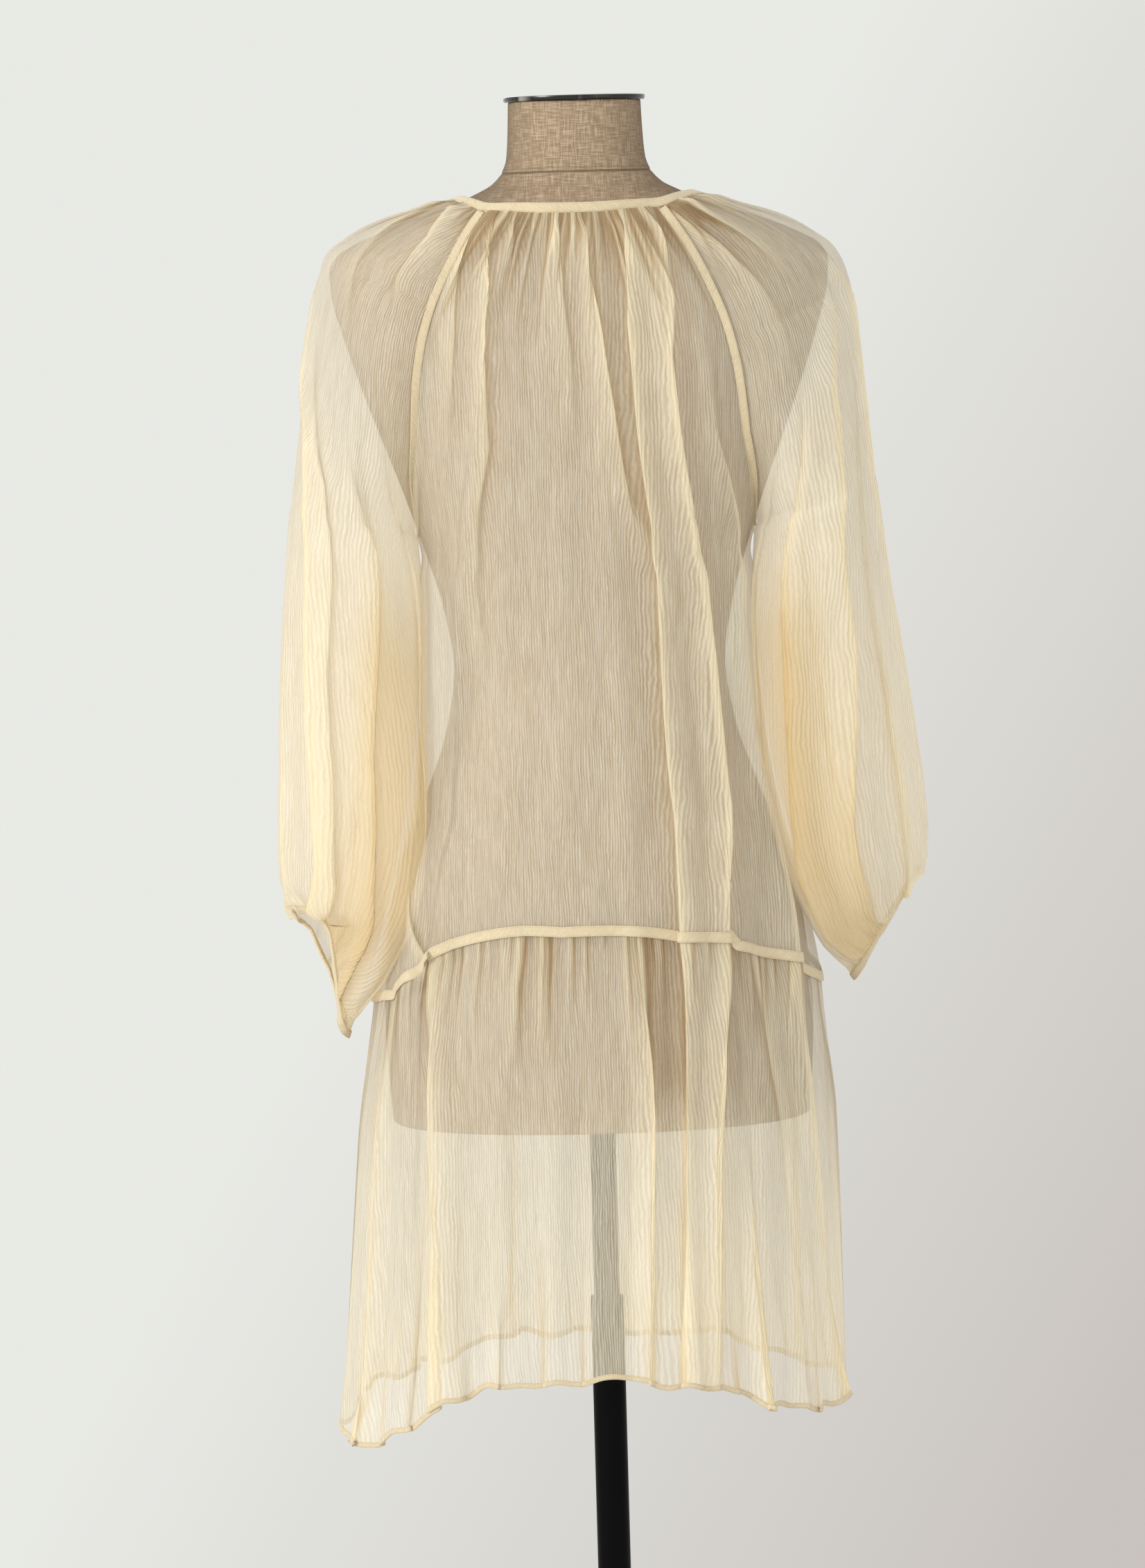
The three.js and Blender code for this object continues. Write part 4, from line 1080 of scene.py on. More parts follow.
tiers = {
    "back": {
        "rows": 110,
        "soft": [
            (-170, -192, 12, 4, 14), (-146, -160, 12, 3, 10), (-118, -122, 12, 4, 14),
            (-70, -84, 13, 3, 5),
            (-34, -36, 12, 3, 5), (6, -2, 14, 2, 4), (40, 38, 11, 5, 12), (66, 62, 11, 5, 11),
            (94, 88, 12, 4, 12), (122, 117, 12, 4, 12), (148, 145, 12, 4, 12), (172, 168, 11, 3, 12),
        ],
        "folds": [
            fold(3.4, 0.9, 4, onTop, (0, -0.2, 1), (0.12, -0.205, 0.8), (0.32, -0.2, 0), dark=1.1),
            fold(3.4, 0.9, 4, onTop, (0, -0.13, 1), (0.133, -0.125, 0.7), (0.3, -0.12, 0), dark=0.9),
            fold(4.8, 1.2, 6, onTop, (0, 0.095, 0.8), (0.14, 0.105, 1), (0.413, 0.11, 1), (0.68, 0.1, 1),
                (1, 0.095, 1), dark=1.2),
            fold(4.2, 1.05, 6, under, (0, 0.21, 1), (0.5, 0.195, 1), (0.95, 0.165, 1), (1, 0.165, 1),
                dark=1.0),
            fold(5.2, 1.25, 7, onTop, (0, 0.34, 1), (0.487, 0.285, 1), (1, 0.265, 1), dark=0.9),
            fold(5.0, 1.1, 6, under, (0, 0.445, 1), (0.273, 0.475, 0.9), (0.4, 0.51, 0.6),
                (0.7, 0.56, 0.3), (1, 0.6, 0.6)),
            fold(5.0, 1.1, 6, onTop, (0, 0.60, 1), (0.34, 0.645, 0.9), (1, 0.74, 1)),
            fold(4.8, 1.1, 6, onTop, (0.35, 0.40, 0), (0.653, 0.395, 0.9), (1, 0.42, 1)),
            fold(5.0, 1.1, 6, under, (0, -0.70, 1), (0.213, -0.71, 1), (0.34, -0.71, 1), (1, -0.72, 1)),
            fold(5.0, 1.1, 6, under, (0, -0.49, 0.9), (0.627, -0.435, 1), (1, -0.41, 1)),
            fold(5.4, 1.2, 7, onTop, (0, -0.90, 0.8), (0.46, -0.88, 1), (1, -0.86, 1)),
            fold(5.0, 1.1, 6, under, (0, 0.86, 0.6), (0.5, 0.86, 1), (1, 0.88, 1)),
        ],
        "gathers": (13, 52, (-0.97, 0.97), 0.0018, 0.0036, 0.34),
        "hemGathers": (31, 20, (-0.96, 0.96), 0.0046, 0.0042, 0.7),
        "drift": (23, 0.0016, 0.05), "tight": 0.08,
    },
    "front": {
        "rows": 110,
        "soft": [
            (-165, -180, 12, 4, 13), (-128, -140, 13, 4, 12), (-92, -98, 13, 4, 10), (-55, -60, 13, 3, 9),
            (-18, -20, 13, 3, 8), (20, 22, 13, 3, 9), (58, 60, 13, 4, 10), (95, 96, 13, 4, 11),
            (130, 132, 13, 4, 12), (162, 162, 12, 4, 13),
        ],
        "folds": [
            fold(5.0, 1.15, 6, onTop, (0, -0.84, 0.8), (0.5, -0.86, 1), (1, -0.88, 1)),
            fold(5.0, 1.15, 6, under, (0, -0.62, 1), (0.5, -0.60, 1), (1, -0.58, 1)),
            fold(4.4, 1.05, 5, onTop, (0, -0.34, 1), (0.4, -0.33, 0.9), (1, -0.31, 1)),
            fold(4.4, 1.05, 5, onTop, (0, -0.08, 1), (0.5, -0.06, 0.8), (1, -0.05, 0.9)),
            fold(4.6, 1.1, 5, under, (0, 0.20, 1), (0.5, 0.21, 0.9), (1, 0.22, 1)),
            fold(4.8, 1.1, 6, onTop, (0, 0.45, 1), (0.5, 0.47, 1), (1, 0.48, 1)),
            fold(5.0, 1.15, 6, under, (0, 0.70, 0.9), (0.5, 0.72, 1), (1, 0.73, 1)),
        ],
        "gathers": (14, 52, (-0.97, 0.97), 0.0019, 0.0036, 0.34),
        "hemGathers": (32, 18, (-0.96, 0.96), 0.0050, 0.0042, 0.7),
        "drift": (24, 0.0018, 0.05), "tight": 0.08,
    },
}
sleevePanels = {
    # u runs from the back seam over the shoulder to the front seam on the right, and back on the left
    "right": {
        "rows": 230, "columns": 330, "table": rightSleeve,
        "folds": [
            fold(4.5, 0.9, 4, onTop, (0, 0.02, 1), (0.08, 0.06, 1), (0.163, 0.085, 0.8),
                (0.27, 0.127, 0.4), (0.36, 0.16, 0)),
            fold(4.5, 0.9, 4, under, (0, 0.10, 1), (0.095, 0.14, 1), (0.16, 0.16, 0.7), (0.24, 0.19, 0)),
            fold(5.0, 1.1, 5, onTop, (0.2, 0.34, 0), (0.26, 0.36, 0.8), (0.295, 0.387, 1),
                (0.365, 0.39, 1), (0.48, 0.41, 1), (0.6, 0.44, 0.8), (0.8, 0.43, 0.5), (1, 0.4, 0.5)),
            fold(6.0, 1.2, 6, onTop, (0.24, 0.30, 0), (0.3, 0.30, 0.7), (0.38, 0.27, 1),
                (0.465, 0.285, 1), (0.6, 0.29, 1), (0.763, 0.23, 1), (0.9, 0.22, 0.8), (1, 0.2, 0.8)),
            fold(6.0, 1.2, 6, under, (0.36, 0.17, 0), (0.42, 0.17, 0.8), (0.525, 0.17, 1),
                (0.69, 0.157, 1), (0.85, 0.12, 0.8), (1, 0.1, 0.8)),
            fold(5.0, 1.0, 5, onTop, (0.40, 0.08, 0), (0.50, 0.09, 0.8), (0.64, 0.10, 1),
                (0.8, 0.07, 0.8), (1, 0.06, 0.6)),
            fold(6.0, 1.1, 6, under, (0.55, 0.36, 0), (0.64, 0.35, 0.8), (0.8, 0.34, 1), (1, 0.3, 0.8)),
            fold(6.0, 1.1, 6, under, (0.3, 0.62, 0), (0.45, 0.63, 0.9), (0.7, 0.64, 1), (1, 0.62, 0.8)),
            fold(6.0, 1.1, 6, onTop, (0.35, 0.78, 0), (0.5, 0.78, 0.9), (0.75, 0.78, 1), (1, 0.8, 0.8)),
        ],
        "gathers": (15, 34, (0.02, 0.98), 0.0026, 0.0034, 0.24),
        "cuffGathers": (17, 34, (0.03, 0.97), 0.0026, 0.0022, 0.16),
        "drift": (25, 0.0016, 0.07),
        "lean": {"at": 0.12, "wide": 0.085, "inward": [
            (0.475, 0), (0.50, 2.5), (0.53, 7), (0.56, 11), (0.60, 14.5), (0.65, 17), (0.8, 21),
            (0.9, 13), (0.97, 0),
        ], "rim": [(0, 0), (1, 0)]},
    },
    "left": {
        "rows": 230, "columns": 330, "table": leftSleeve,
        "folds": [
            fold(5.0, 1.1, 5, under, (0, 0.80, 1), (0.06, 0.85, 1), (0.105, 0.887, 1),
                (0.193, 0.89, 0.7), (0.25, 0.9, 0)),
            fold(4.5, 0.9, 4, onTop, (0, 0.68, 1), (0.08, 0.72, 0.9), (0.2, 0.76, 0.5), (0.32, 0.78, 0)),
            fold(5.4, 1.1, 5, under, (0.22, 0.52, 0), (0.285, 0.52, 0.8), (0.372, 0.56, 1),
                (0.42, 0.64, 1), (0.565, 0.657, 1), (0.67, 0.68, 1), (0.782, 0.715, 1), (0.9, 0.72, 1),
                (1, 0.72, 0.8)),
            fold(5.4, 1.1, 5, onTop, (0.3, 0.60, 0), (0.45, 0.715, 0.8), (0.60, 0.715, 0.9),
                (0.805, 0.763, 1), (1, 0.78, 0.8)),
            fold(6.0, 1.2, 6, onTop, (0.40, 0.80, 0), (0.50, 0.81, 0.9), (0.67, 0.80, 1),
                (0.807, 0.82, 1), (0.96, 0.88, 1), (1, 0.88, 1)),
            fold(6.0, 1.2, 6, under, (0.33, 0.90, 0), (0.47, 0.90, 0.9), (0.64, 0.88, 1),
                (0.80, 0.90, 1), (1, 0.93, 0.8)),
            fold(5.0, 1.0, 5, under, (0.45, 0.58, 0), (0.6, 0.58, 0.8), (0.8, 0.60, 1), (1, 0.62, 0.9)),
            fold(6.0, 1.1, 6, under, (0.3, 0.38, 0), (0.45, 0.37, 0.9), (0.7, 0.36, 1), (1, 0.38, 0.8)),
            fold(6.0, 1.1, 6, onTop, (0.35, 0.20, 0), (0.5, 0.21, 0.9), (0.75, 0.22, 1), (1, 0.2, 0.8)),
        ],
        "gathers": (16, 34, (0.02, 0.98), 0.0026, 0.0034, 0.24),
        "cuffGathers": (18, 34, (0.03, 0.97), 0.0026, 0.0022, 0.16),
        "drift": (26, 0.0016, 0.07),
        "lean": {"at": 0.88, "wide": 0.085, "inward": [
            (0.475, 0), (0.50, 2.5), (0.53, 7), (0.56, 11), (0.60, 15), (0.64, 18), (0.73, 27),
            (0.81, 31),
            (0.89, 20), (0.96, 0),
        ], "rim": [
            (0, 2), (0.04, 5), (0.08, 9), (0.12, 20), (0.16, 31), (0.2, 34), (0.3, 36), (0.36, 25),
            (0.4, 14),
            (0.5, 7), (0.62, 6), (0.70, 20), (0.75, 30), (0.80, 40), (0.825, 40), (0.85, 22), (0.87, 2),
            (0.89, -9),
            (0.92, -9), (0.96, -3), (1, 2),
        ]},
    },
}


leanShape = {
    "back": 0.65,  # how much of its way inward the cloth also falls back
    "edge": 0.09,  # of u, the width of the edge that hugs the body
    "hug": ((0.49, 0.53, 0.58, 0.66, 0.76), (0, 0.0045, 0.006, 0.004, 0)),
    "clear": 0.0015,
    "clearBack": 0.010,
    "frontmost": 0.02,
    "deepest": 0.2,
    "least": 1e-5,
    "rimFade": (0.80, 0.20),
    "doubledFrom": 0.12,  # towards the sleeve's outer side
    "doubledWidth": 0.07,
    "doubledFade": (0.47, 0.13),
    # how strongly the doubled band is made denser and painted with recess shade
    "doubledShadeTone": 1.3,
}
clothSettings = {
    "panelFade": 0.045,
    "tierShade": (0.45, 0.15),  # below the form the light comes through the folds
    "sleeveShade": (0.3, 0.1),
    "sleeveTight": 0.15,
    "sleeveFade": 0.06,
    "sleeveFollow": (0.15, 0.6, 0.48, 0.3),
}


def grainOf(s, points, tight, fade, follow=0.0):
    # the crinkle runs down the cloth and closes up where the cloth is gathered
    width = s[:, -1:] - s[:, :1]
    s = s * ((1 - follow) + follow * width.mean() / width)
    middle = points[:, points.shape[1] // 2]
    run = np.concatenate([[0], np.cumsum(np.linalg.norm(np.diff(middle, axis=0), axis=-1))])[:, None]
    close = 1 + tight * np.exp(-run / fade)
    return np.stack([s * close, np.broadcast_to(run, s.shape)], -1)


def gridOn(columns, rows, first):
    return np.meshgrid(np.linspace(first, 1, columns + 1), np.linspace(0, 1, rows + 1))


def leanOnBody(points, u, v, settings):
    # the back of the sleeve's inner side falls over the side of the body, but never through it
    weight = np.exp(-(((u - settings["at"]) / settings["wide"]) ** 2))
    places = np.array(settings["inward"], float)
    inward = np.interp(v, places[:, 0], places[:, 1]) / 1000 * weight
    side = np.sign(points[..., 0])
    # under the arm its whole inner edge lies against the body
    edge = np.exp(-((np.minimum(u, 1 - u) / leanShape["edge"]) ** 2))
    hug = np.interp(v, *leanShape["hug"]) * edge
    x = points[..., 0] - side * (inward + hug)
    y = points[..., 1] - leanShape["back"] * inward
    left, right, back, _ = bodyExtents(points[..., 2])
    half = np.where(side < 0, left, right) + leanShape["clear"]
    power = shape["roundness"]
    inside = (np.abs(x) / half) ** power + (np.abs(y) / (back + leanShape["clearBack"])) ** power
    pushed = (inside < 1) & (y < leanShape["frontmost"]) & (inward + hug > leanShape["least"])
    push = np.where(pushed, np.maximum(inside, leanShape["deepest"]) ** (-1 / power), 1)
    # the back of the left cuff is drawn up, which opens its mouth to view
    rim = np.array(settings["rim"], float)
    begin, over = leanShape["rimFade"]
    drawn = np.interp(u, rim[:, 0], rim[:, 1]) / 1000 * smooth((v - begin) / over)
    # where the sleeve's layers lie over the body's, a little outside its inner edge, the cloth is doubled and
    # ochre shade is painted
    centre = settings["at"] + (0.5 - settings["at"]) * leanShape["doubledFrom"]
    doubled = np.exp(-(((u - centre) / leanShape["doubledWidth"]) ** 2))
    begin, over = leanShape["doubledFade"]
    doubledShade = leanShape["doubledShadeTone"] * doubled * smooth((v - begin) / over)
    return np.stack([x * push, y * push, points[..., 2] + drawn], -1), doubledShade


sheets = {}


def layPanel(name, node, face, settings, topLine, bottomLine, columns, start=None):
    u, v = gridOn(columns, settings["rows"], -1)
    surface = panelSurface(face, topLine, bottomLine)
    base = surface(u, v)
    soft = softFolds(settings["soft"], base, v)
    small = gathers(*settings["gathers"])
    if "hemGathers" in settings:
        small += gathers(*settings["hemGathers"], atTop=False)
    drift = wander(*settings["drift"])
    bound = (start is None, False)
    points, s, marks, lift = foldSheet(base, u, v, soft, settings["folds"], small, drift, bound, start=start)
    if start is not None:
        end, over = clothSettings["tierShade"]
        marks["shade"] *= smooth((end - v) / over)
    grain = grainOf(s, points, settings["tight"], clothSettings["panelFade"])
    mesh = makeMesh(name, points, {"grain": grain, **marks})
    piece = addPiece(name, mesh, silkFinish, node, "form")
    sheets[name] = {"points": points, "base": base, "lift": lift, "piece": piece}


for face in ("back", "front"):
    settings = bodyPanels[face]
    columns = settings["columns"]
    neckLine = arch(*shape["neckline"][face])
    layPanel(face + "Panel", face + "_panel", face, settings, neckLine, seamLines[face], columns)
    edge = sheets[face + "Panel"]["lift"][-1:]
    layPanel(face + "Tier", face + "_tier", face, tiers[face], seamLines[face], hemLines[face], columns, edge)
print("body panels and tiers laid")

for side, settings in sleevePanels.items():
    u, v = gridOn(settings["columns"], settings["rows"], 0)
    base = sleeveSurface(settings["table"], side == "right")(u, v)
    base, doubledShade = leanOnBody(base, u, v, settings["lean"])
    small = gathers(*settings["gathers"]) + gathers(*settings["cuffGathers"], atTop=False)
    drift = wander(*settings["drift"])
    flat = np.zeros_like(v)
    points, s, marks, lift = foldSheet(base, u, v, flat, settings["folds"], small, drift, (True, True))
    end, over = clothSettings["sleeveShade"]
    marks["shade"] *= smooth((end - v) / over)
    # the doubled band joins the painted recess shade
    marks["recessShade"] = np.clip(marks["recessShade"] + doubledShade, 0, foldShape["most"])
    name = "sleeve" + side.capitalize()
    # below the underarm the grain turns with the sleeve's own width
    least, more, begin, over = clothSettings["sleeveFollow"]
    follow = least + more * smooth((v[:, :1] - begin) / over)
    grain = grainOf(s, points, clothSettings["sleeveTight"], clothSettings["sleeveFade"], follow)
    mesh = makeMesh(name, points, {"grain": grain, **marks})
    piece = addPiece(name, mesh, silkFinish, "sleeve_" + side, "form")
    sheets[name] = {"points": points, "base": base, "lift": lift, "piece": piece}
print("sleeves laid")

# ---- bias strips, each a folded band with its own thickness ----

stripProfile = {"round": 0.35, "steps": 14}


def bandOn(name, node, centre, acrossWay, outWay, width, thick, closed=False):
    # a flat rounded band swept along centre; acrossWay points over its width and outWay off the cloth
    steps = stripProfile["steps"]
    angle = np.linspace(0, 2 * np.pi, steps + 1)
    power = stripProfile["round"]
    wide = np.sign(np.cos(angle)) * np.abs(np.cos(angle)) ** power * width / 2
    high = np.sign(np.sin(angle)) * np.abs(np.sin(angle)) ** power * thick / 2
    rows = centre[:, None] + wide[None, :, None] * acrossWay[:, None] + high[None, :, None] * outWay[:, None]
    run = np.concatenate([[0], np.cumsum(np.linalg.norm(np.diff(centre, axis=0), axis=-1))])[:, None]
    run = np.broadcast_to(run, rows.shape[:2])
    lane = np.stack([run, np.broadcast_to(wide / width + 0.5, run.shape)], -1)
    girth = np.broadcast_to(wide[None, :], run.shape)
    grain = np.stack([run * 0.7 + girth * 0.7, girth * 0.7 - run * 0.7], -1)
    mesh = makeMesh(name, rows, {"grain": grain, "lane": lane}, wrapU=True, wrapV=closed)
    bm = bmesh.new()
    bm.from_mesh(mesh)
    if not closed:
        bmesh.ops.holes_fill(bm, edges=[e for e in bm.edges if e.is_boundary], sides=0)
    bmesh.ops.recalc_face_normals(bm, faces=bm.faces)
    bm.to_mesh(mesh)
    bm.free()
    return addPiece(name, mesh, stripFinish, node, "form")


def evened(*rails, step=0.0016):
    # resamples rails that run together so that their points lie a step apart
    run = np.concatenate([[0], np.cumsum(np.linalg.norm(np.diff(rails[0], axis=0), axis=-1))])
    count = max(2, int(run[-1] / step) + 1)
    places = np.linspace(0, run[-1], count)
    return [np.stack([np.interp(places, run, rail[:, k]) for k in range(3)], -1) for rail in rails]


def softened(points, times):
    for _ in range(times):
        points = np.concatenate([points[:1], (points[:-2] + 2 * points[1:-1] + points[2:]) / 4, points[-1:]])
    return points


def waysAt(sheet, row, inner):
    # the edge of a sheet with its outward and its off-the-edge directions
    points = sheet["points"]
    edge = points[row]
    across = unit(np.gradient(edge, axis=0))
    off = edge - points[inner]
    off = unit(off - across * np.sum(off * across, -1, keepdims=True))
    out = unit(np.cross(-off if row == 0 else off, across))
    return edge, off, out


strips = {
    # size is width and thickness; off is beyond the cloth's edge, out is off its face
    "neck": {"size": (0.0080, 0.0016), "off": 0.0036, "out": 0.0006},
    "raglan": {"size": (0.0064, 0.0014), "out": 0.0014, "deepest": 2.6, "tilt": 0.4, "past": 0.012},
    "tape": {"size": (0.0082, 0.0013), "off": 0.0, "out": 0.0012, "step": 0.0009},
    "cuff": {"size": (0.0062, 0.0022), "off": 0.0026, "step": 0.0010},
    "hem": {"size": (0.0042, 0.0018), "off": 0.0018, "out": 0.0, "step": 0.0011},
}

# the neck binding goes once round the top edges of the four pieces that meet there
order = ("backPanel", "sleeveRight", "frontPanel", "sleeveLeft")
rails = [waysAt({"points": sheets[name]["base"]}, 0, 1) for name in order]
offBy, outBy = strips["neck"]["off"], strips["neck"]["out"]
ring = np.concatenate([edge[:-1] + off[:-1] * offBy + out[:-1] * outBy for edge, off, out in rails])
ringOff = np.concatenate([off[:-1] for _, off, _ in rails])
ring = np.concatenate([ring, ring[:1]])
ringOff = np.concatenate([ringOff, ringOff[:1]])
ring, ringOff = evened(ring, ringOff)


def roundRing(points, times):
    for _ in range(times):
        loop = np.concatenate([points[-2:-1], points, points[1:2]])
        points = (loop[:-2] + 2 * loop[1:-1] + loop[2:]) / 4
        points[-1] = points[0]
    return points


ring, ringOff = roundRing(ring, 40), unit(roundRing(ringOff, 60))
ringWay = unit(np.gradient(np.concatenate([ring[-2:-1], ring, ring[1:2]]), axis=0)[1:-1])
ringOut = unit(np.cross(-ringOff, ringWay))
neckSize = strips["neck"]["size"]
neckBinding = bandOn("neckBinding", "neck_binding", ring, ringOff, ringOut, *neckSize, closed=True)

for face in ("back", "front"):
    panel = sheets[face + "Panel"]
    for side in ("left", "right"):
        sleeve = sheets["sleeve" + side.capitalize()]
        panelEnd = (0, 4) if (face == "back") == (side == "left") else (-1, -5)
        sleeveEnd = (0, 4) if (face == "back") == (side == "right") else (-1, -5)
        a, aIn = (panel["points"][:, k] for k in panelEnd)
        b, bIn = (sleeve["points"][:, k] for k in sleeveEnd)
        settings = strips["raglan"]
        zs = np.linspace(a[0, 2] - 0.001, shape["underarmZ"] + settings["past"], 160)

        def atHeight(rail):
            order = np.argsort(rail[:, 2])
            order = order[rail[order, 2] > 1.14]
            return np.stack([np.interp(zs, rail[order, 2], rail[order, k]) for k in range(3)], -1)

        centre = (atHeight(a) + atHeight(b)) / 2
        way = unit(np.gradient(centre, axis=0))
        over = unit(softened(atHeight(bIn) - atHeight(aIn), 30))
        over = unit(over - way * np.sum(over * way, -1, keepdims=True))
        out = np.cross(over, way)
        facing = np.array([0, -1 if face == "back" else 1, settings["tilt"]])
        out = unit(out * np.sign(np.sum(out * facing, -1, keepdims=True)))
        # the strip bridges the valley between the panel and the sleeve
        inner, outer = atHeight(aIn), atHeight(bIn)
        rise = np.sum((inner + outer - 2 * centre) * out, -1, keepdims=True)
        slope = rise / np.linalg.norm(outer - inner, axis=-1, keepdims=True)
        valley = softened(np.clip(slope, 0, settings["deepest"]), 20)
        centre = centre + out * (settings["out"] + valley * settings["size"][0] / 2)
        node = f"raglan_binding_{face}_{side}"
        name = f"raglanBinding{face.capitalize()}{side.capitalize()}"
        sheets[name] = {"piece": bandOn(name, node, centre, over, out, *settings["size"])}

    for kind, sheet, label, node in (
        ("tape", panel, "tierTape", "tier_tape_"),
        ("hem", sheets[face + "Tier"], "hemBinding", "hem_binding_"),
    ):
        settings = strips[kind]
        edge, off, out = waysAt(sheet, -1, -4)
        centre = edge + off * settings["off"] + out * settings["out"]
        centre, off, out = evened(centre, off, out, step=settings["step"])
        off, out = unit(softened(off, 3)), unit(softened(out, 3))
        name = label + face.capitalize()
        sheets[name] = {"piece": bandOn(name, node + face, centre, off, out, *settings["size"])}

for side in ("left", "right"):
    sleeve = sheets["sleeve" + side.capitalize()]
    edge, off, out = waysAt(sleeve, -1, -4)
    settings = strips["cuff"]
    centre, off = evened(edge + off * settings["off"], off, step=settings["step"])
    centre, off = roundRing(centre, 3), unit(roundRing(off, 6))
    way = unit(np.gradient(np.concatenate([centre[-2:-1], centre, centre[1:2]]), axis=0)[1:-1])
    out = unit(np.cross(off, way))
    name = "cuffBinding" + side.capitalize()
    piece = bandOn(name, "cuff_binding_" + side, centre, off, out, *settings["size"], closed=True)
    sheets[name] = {"piece": piece}
print("bindings, tapes and hems laid")

# ---- dress form and stand ----

formSettings = {
    "around": 144,
    "neckSeamZ": 1.4405,
    "seamDepth": 0.0006,
    "seamWidth": 0.0011,
    "topZ": 1.4952,
    "bottomZ": 0.702,
    "socket": 0.0106,
    "socketTop": 0.76,
    "skinTop": 1.495,
    # heights where the rows change their spacing, and how many rows there are below each
    "bands": ((1.4942, 1.455, 14), (1.455, 1.425, 56), (1.425, 1.34, 40), (1.34, 0.704, 110)),
    "tiny": 1e-7,
}


def makeForm():
    settings = formSettings
    bands = [np.linspace(*band) for band in settings["bands"]]
    zs = np.concatenate([band[:-1] for band in bands[:-1]] + bands[-1:])
    around = np.linspace(-np.pi, np.pi, settings["around"] + 1)  # its join is at the front
    rows, drops = [], []

    def ringAt(z, drawn, scale=1.0):
        half, back, front = (float(along(formSections, "z", drawn, n)) for n in ("half", "back", "front"))
        x, y = onSection(half, np.where(np.cos(around) > 0, back, front), around)
        dent = settings["seamDepth"] * math.exp(-(((z - settings["neckSeamZ"]) / settings["seamWidth"]) ** 2))
        size = scale - dent / 0.056
        rows.append(np.stack([x * size, y * size, np.full_like(x, z)], -1))

    for scale in (settings["tiny"], 0.3, 0.7, 0.97, 0.99):
        ringAt(settings["topZ"], settings["skinTop"], scale)
    for z in zs:
        ringAt(z, min(z, settings["skinTop"]))
    for scale, lift in ((0.998, 0.0008), (0.992, 0.0)):
        ringAt(settings["bottomZ"] + lift, settings["bottomZ"], scale)
    for scale in (0.8, 0.5, 0.2):
        ringAt(settings["bottomZ"], settings["bottomZ"], scale)
    socket, socketTop = settings["socket"], settings["socketTop"]
    for radius, z in ((socket, settings["bottomZ"]), (socket, socketTop), (settings["tiny"], socketTop)):
        x, y = radius * np.sin(around), -radius * np.cos(around)
        rows.append(np.stack([x, y, np.full_like(around, z)], -1))
    points = np.array(rows)
    girth = np.cumsum(np.linalg.norm(np.diff(points, axis=1, prepend=points[:, :1]), axis=-1), axis=1)
    girth = girth - girth[:, -1:] / 2
    height = np.concatenate([[0], np.cumsum(np.linalg.norm(np.diff(points[:, 0], axis=0), axis=-1))])
    grain = np.stack(np.broadcast_arrays(girth, height[:, None]), -1)
    mesh = makeMesh("formTorso", points, {"grain": grain}, wrapU=True)
    bm = bmesh.new()
    bm.from_mesh(mesh)
    bmesh.ops.recalc_face_normals(bm, faces=bm.faces)
    bm.to_mesh(mesh)
    bm.free()
    return addPiece("formTorso", mesh, linenFinish, "form_torso", "form")


def turned(name, node, finish, body, slot, steps, bevel, profile):
    # spins a profile of (radius, height) round the pole's axis, then eases its edges
    bm = bmesh.new()
    corners = [bm.verts.new((max(r, 0.0), 0, z)) for r, z in profile]
    edges = [bm.edges.new(pair) for pair in zip(corners, corners[1:])]
    bmesh.ops.spin(
        bm, geom=corners + edges, cent=(0, 0, 0), axis=(0, 0, 1), angle=2 * math.pi, steps=steps,
        use_merge=True,
    )
    bmesh.ops.remove_doubles(bm, verts=bm.verts, dist=1e-6)
    bmesh.ops.recalc_face_normals(bm, faces=bm.faces)
    sharp = [e for e in bm.edges if len(e.link_faces) == 2 and e.calc_face_angle() > 0.7]
    if sharp:
        bmesh.ops.bevel(
            bm, geom=sharp, offset=bevel, segments=3, profile=0.5, affect="EDGES", material=-1,
            clamp_overlap=True,
        )
    mesh = bpy.data.meshes.new(name)
    bm.to_mesh(mesh)
    bm.free()
    mesh.shade_smooth()
    return addPiece(name, mesh, finish, node, body)


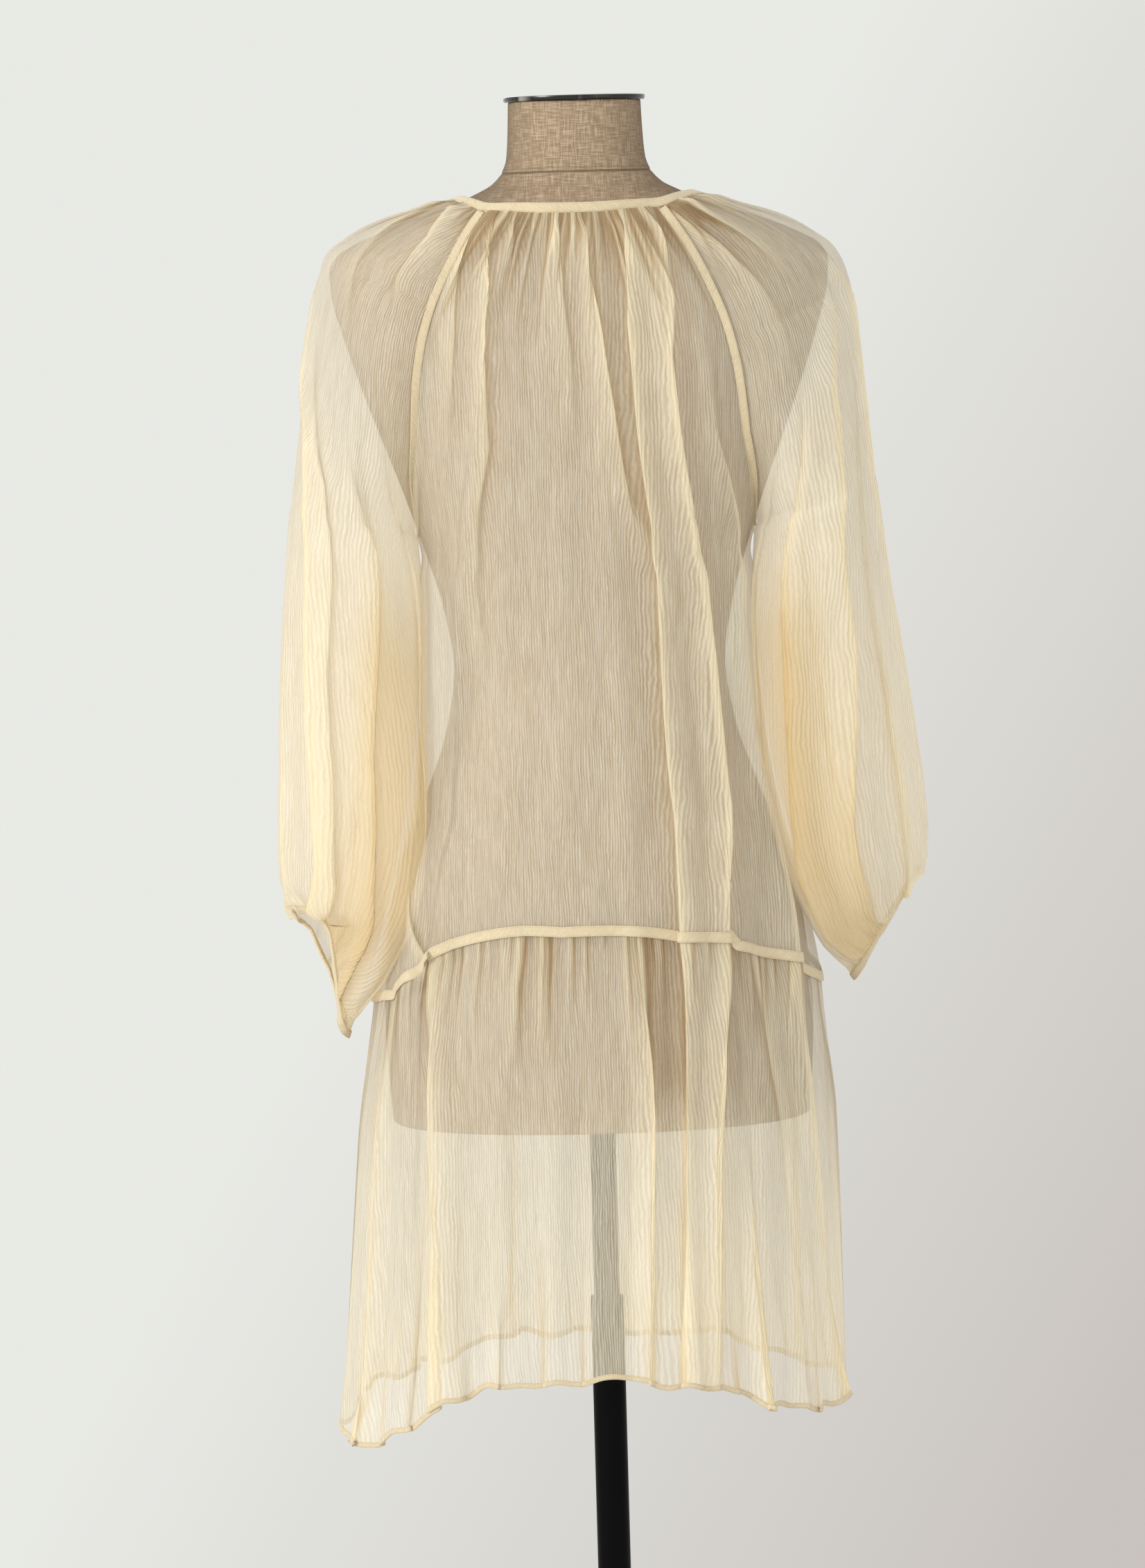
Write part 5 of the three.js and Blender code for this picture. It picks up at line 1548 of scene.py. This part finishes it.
makeForm()
capFoot = 1.4953
turnedPieces = [
    # name, node, finish, body, slot, steps, bevel, and the profile's radii and heights
    ("neckCap", "form_neck_cap", metalFinish, "form", "cap_metal", 128, 0.0006, [
        (0, capFoot), (0.0545, capFoot), (0.055, capFoot + 0.0012), (0.055, capFoot + 0.004),
        (0, capFoot + 0.004),
    ]),
    ("basePlate", "base_plate", blackFinish, "stand", "black_metal", 160, 0.0008, [
        (0, 0), (0.165, 0), (0.165, 0.007), (0.162, 0.010), (0, 0.010),
    ]),
    ("poleLower", "pole_lower", blackFinish, "stand", "black_metal", 64, 0.0004, [
        (0.0105, 0.0103), (0.013, 0.0103), (0.013, 0.557), (0.0105, 0.557), (0.0105, 0.0103),
    ]),
    ("poleUpper", "pole_upper", blackFinish, "mast", "black_metal", 64, 0.0004, [
        (0, 0.25), (0.010, 0.25), (0.010, 0.7617), (0, 0.7617),
    ]),
]
for settings in turnedPieces:
    turned(*settings)
print("form and stand made")


def makeFloor():
    bm = bmesh.new()
    count, radius = floorSettings["segments"], floorSettings["radius"]
    bmesh.ops.create_circle(bm, cap_ends=True, segments=count, radius=radius)
    mesh = bpy.data.meshes.new("floor")
    bm.to_mesh(mesh)
    bm.free()
    floor = bpy.data.objects.new("floor", mesh)
    bpy.context.scene.collection.objects.link(floor)
    mesh.materials.append(makeFloorFinish())


makeFloor()

# ---- what each piece of cloth was cut to ----


def pieceOf(name):
    return sheets[name]["piece"]


cuts = {
    # width and length of the cut in metres, flat area, and what it hangs from
    "backPanel": ((0.52, 0.66), 0.262, "gathered", ["formTorso", "neckBinding"]),
    "frontPanel": ((0.54, 0.64), 0.268, "gathered", ["formTorso", "neckBinding"]),
    "backTier": ((0.66, 0.36), 0.225, "gathered", ["backPanel"]),
    "frontTier": ((0.68, 0.37), 0.235, "gathered", ["frontPanel"]),
    "sleeveLeft": ((0.52, 0.68), 0.27, "gathered", ["formTorso", "neckBinding"]),
    "sleeveRight": ((0.52, 0.68), 0.27, "gathered", ["formTorso", "neckBinding"]),
}
for name, (flat, area, held, restsOn) in cuts.items():
    mesh = pieceOf(name).data
    print(name, "area", round(sum(p.area for p in mesh.polygons), 4), "triangles", 2 * len(mesh.polygons))

print("done")
